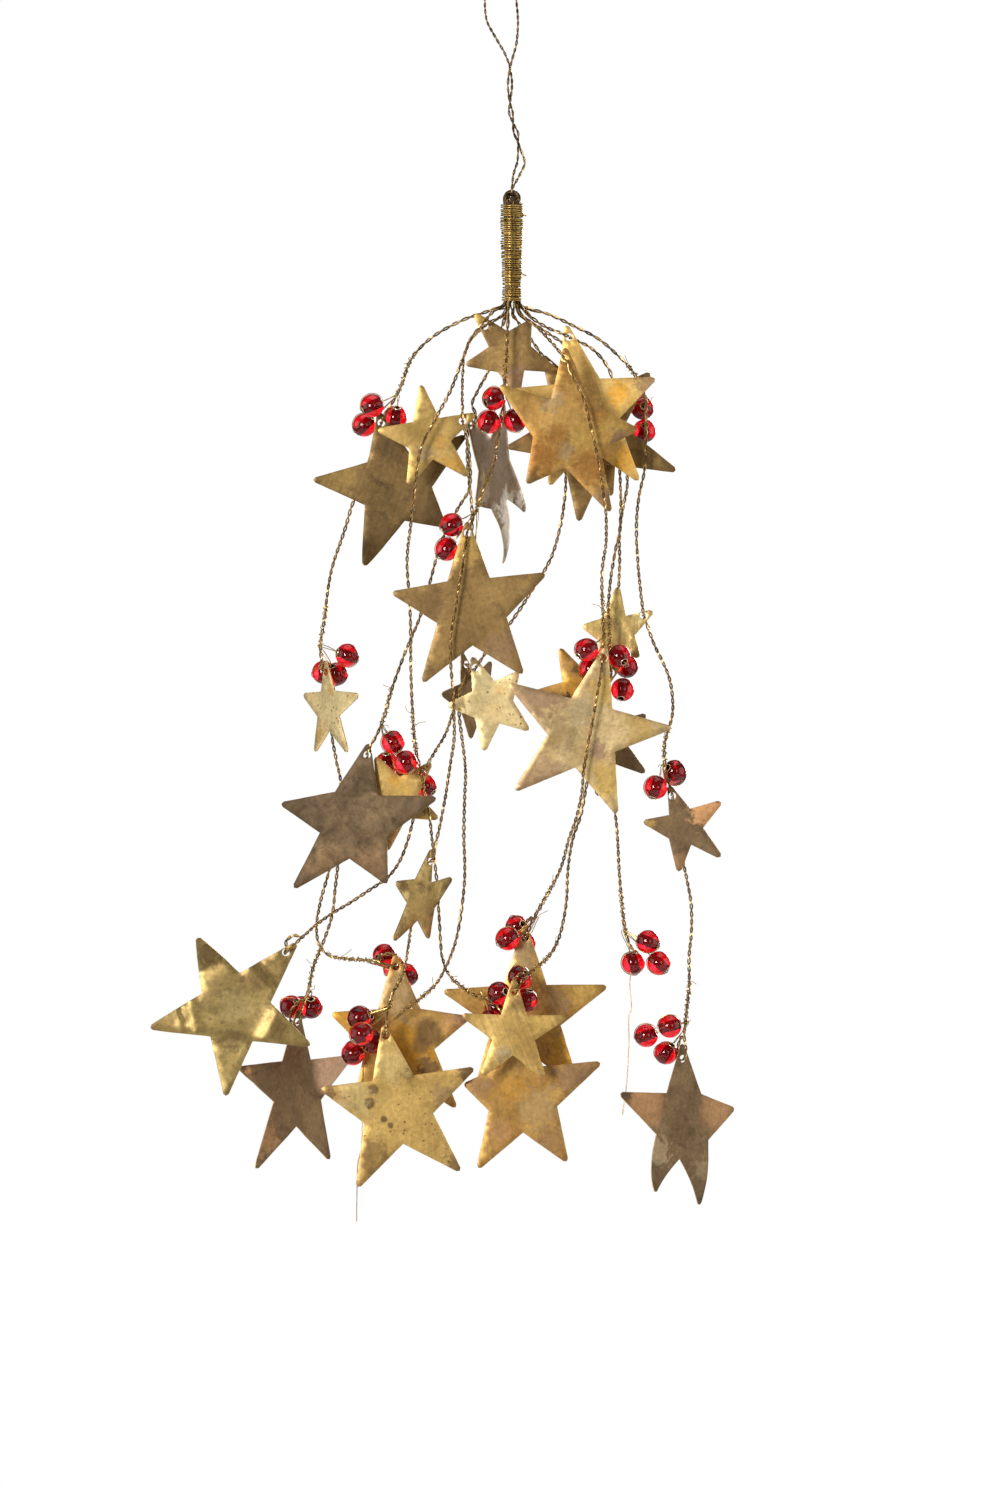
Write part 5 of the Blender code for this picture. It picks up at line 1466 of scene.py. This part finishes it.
def make_bead_wire(name, coil, strung_beads, draw, gold):
    """Fine wire from its turns on the strand through each bead, and back round it or on, with frays."""
    shape = Shape()
    route = list(coil)
    for bead, bore in strung_beads:
        far = bore * (BEAD_RADIUS + BEAD_WIRE_PROUD)
        if name in CHAINED:
            route += [bead - far, bead + far]
            continue
        side = bore.cross(Vector((0, -1, draw.uniform(*BEAD_WRAP_LEAN)))).normalized() * far.length
        wrap = [bead + spoke(far, side, turn) for turn in half_turns(BEAD_WRAP_SIDES)]
        route += [bead - far, *wrap]
        route.append(coil[-1] + drawn(draw, ANY_WAY) * TIE_CLUTTER)
    shape.tube(smooth_curve(route, BEAD_WIRE_STEP), BEAD_WIRE_RADIUS, FINE_SIDES)
    for place in (coil[0], coil[len(coil) // 3], coil[-1]):
        out = drawn(draw, FRAY_LEAN).normalized()
        curl = drawn(draw, ANY_WAY) * FRAY_CURL
        reach = FRAY_LENGTH * draw.uniform(*FRAY_SHARES)
        stops = [place, place + out * reach / 2, place + (out + curl) * reach]
        shape.tube(smooth_curve(stops, BEAD_WIRE_STEP), FRAY_RADIUS, FRAY_SIDES)
    shape.piece(name + "_wire", [gold], "bunch")


def make_tail(name, route, wire):
    """A loose end of bead wire."""
    line = smooth_curve([picture(*stop) for stop in route], BEAD_WIRE_STEP)
    shape = Shape()
    shape.tube(line, TAIL_RADIUS, FINE_SIDES)
    obj = shape.piece(name, [wire], "bunch")
    add_cord(line, line[0])


def make_camera():
    camera = bpy.data.cameras.new("camera")
    camera.lens = CAMERA_LENS
    obj = add_object("camera", camera)
    obj.location = CAMERA_PLACE
    obj.rotation_euler = (math.radians(90), 0, 0)
    bpy.context.scene.camera = obj


def make_light(name, place, width, height, power):
    """A soft box that faces the object."""
    lamp = bpy.data.lights.new(name, "AREA")
    lamp.shape = "RECTANGLE"
    lamp.size = width
    lamp.size_y = height
    lamp.energy = power
    obj = add_object(name, lamp)
    obj.location = place
    obj.rotation_euler = (LIGHT_TARGET - Vector(place)).to_track_quat("-Z", "Y").to_euler()


def make_world():
    """A white surround for what the camera sees, also through glass, and a dimmer one that gives light."""
    world = bpy.data.worlds.new("surround")
    world.use_nodes = True
    bpy.context.scene.world = world
    tree = world.node_tree
    tree.nodes.clear()
    path = tree.nodes.new("ShaderNodeLightPath")
    rays = {0: path.outputs["Is Camera Ray"], 1: path.outputs["Is Transmission Ray"]}
    seen = add_node(tree, "Math", rays)
    seen.operation = "MAXIMUM"
    white = add_node(tree, "Background", {"Color": (1, 1, 1, 1), "Strength": 1.0})
    soft = add_node(tree, "Background", {"Color": (1, 1, 1, 1), "Strength": AMBIENT})
    either = add_node(tree, "MixShader", {0: seen.outputs[0], 1: soft.outputs[0], 2: white.outputs[0]})
    output = tree.nodes.new("ShaderNodeOutputWorld")
    tree.links.new(either.outputs[0], output.inputs["Surface"])


def make_floor():
    """A pale floor that belongs to the stage."""
    material, tree, shader = new_material("pale_floor", 0.0, FLOOR_ROUGHNESS)
    mottle = noise_value(tree, object_place(tree, FLOOR_SEED), *FLOOR_NOISE)
    add_tones(tree, shader, ranged(tree, mottle, *GRAIN_EDGES), FLOOR_TONES)
    mesh = bpy.data.meshes.new("floor")
    half = FLOOR_SIZE / 2
    corners = [(-half, -half, 0), (half, -half, 0), (half, half, 0), (-half, half, 0)]
    mesh.from_pydata(corners, [], [(0, 1, 2, 3)])
    mesh.materials.append(material)
    floor = add_object("floor", mesh)
    floor.location = (0, 0, FLOOR_HEIGHT)
    floor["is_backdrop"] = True


def main():
    draw = random.Random(DRAW_SEED)
    bpy.context.scene.view_settings.view_transform = "Standard"
    make_camera()
    make_world()
    make_floor()
    for light in LIGHTS:
        make_light(*light)
    metals = {name: worn_metal(name, *look) for name, look in METALS.items()}
    bead_materials = [red_glass(), metals["bead_bore_shade"], metals["bead_rim"]]
    make_hanging_loop(metals["loop_wire"])
    lines = {name: strand_line(name) for name in ROUTES}
    for seed, (name, line) in enumerate(lines.items()):
        make_strand(name, line, seed, metals["bronze_wire"])
    for name, route in TAILS.items():
        make_tail(name, route, metals["loop_wire"])
    make_stem(list(lines.values()), draw, metals["bundle_wire"])
    make_binding(metals["brass_wire"], draw)
    for seed, (name, star) in enumerate(STARS.items()):
        make_star(name, star, seed, metals["cut_edge"])
    for seed, (name, (strand, tie_row, places)) in enumerate(CLUSTERS.items()):
        coil = tie_coil(lines[strand], tie_row, seed)
        beads = strung([picture(*place) for place in places], coil[-1], name in CHAINED)
        make_beads(name, beads, bead_materials)
        make_bead_wire(name, coil, beads, draw, metals["brass_wire"])
    bounds = {"cad": cad_bounds, "visual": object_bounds()}
    plain = {name: [[float(value) for value in corner] for corner in box] for name, box in bounds.items()}


main()
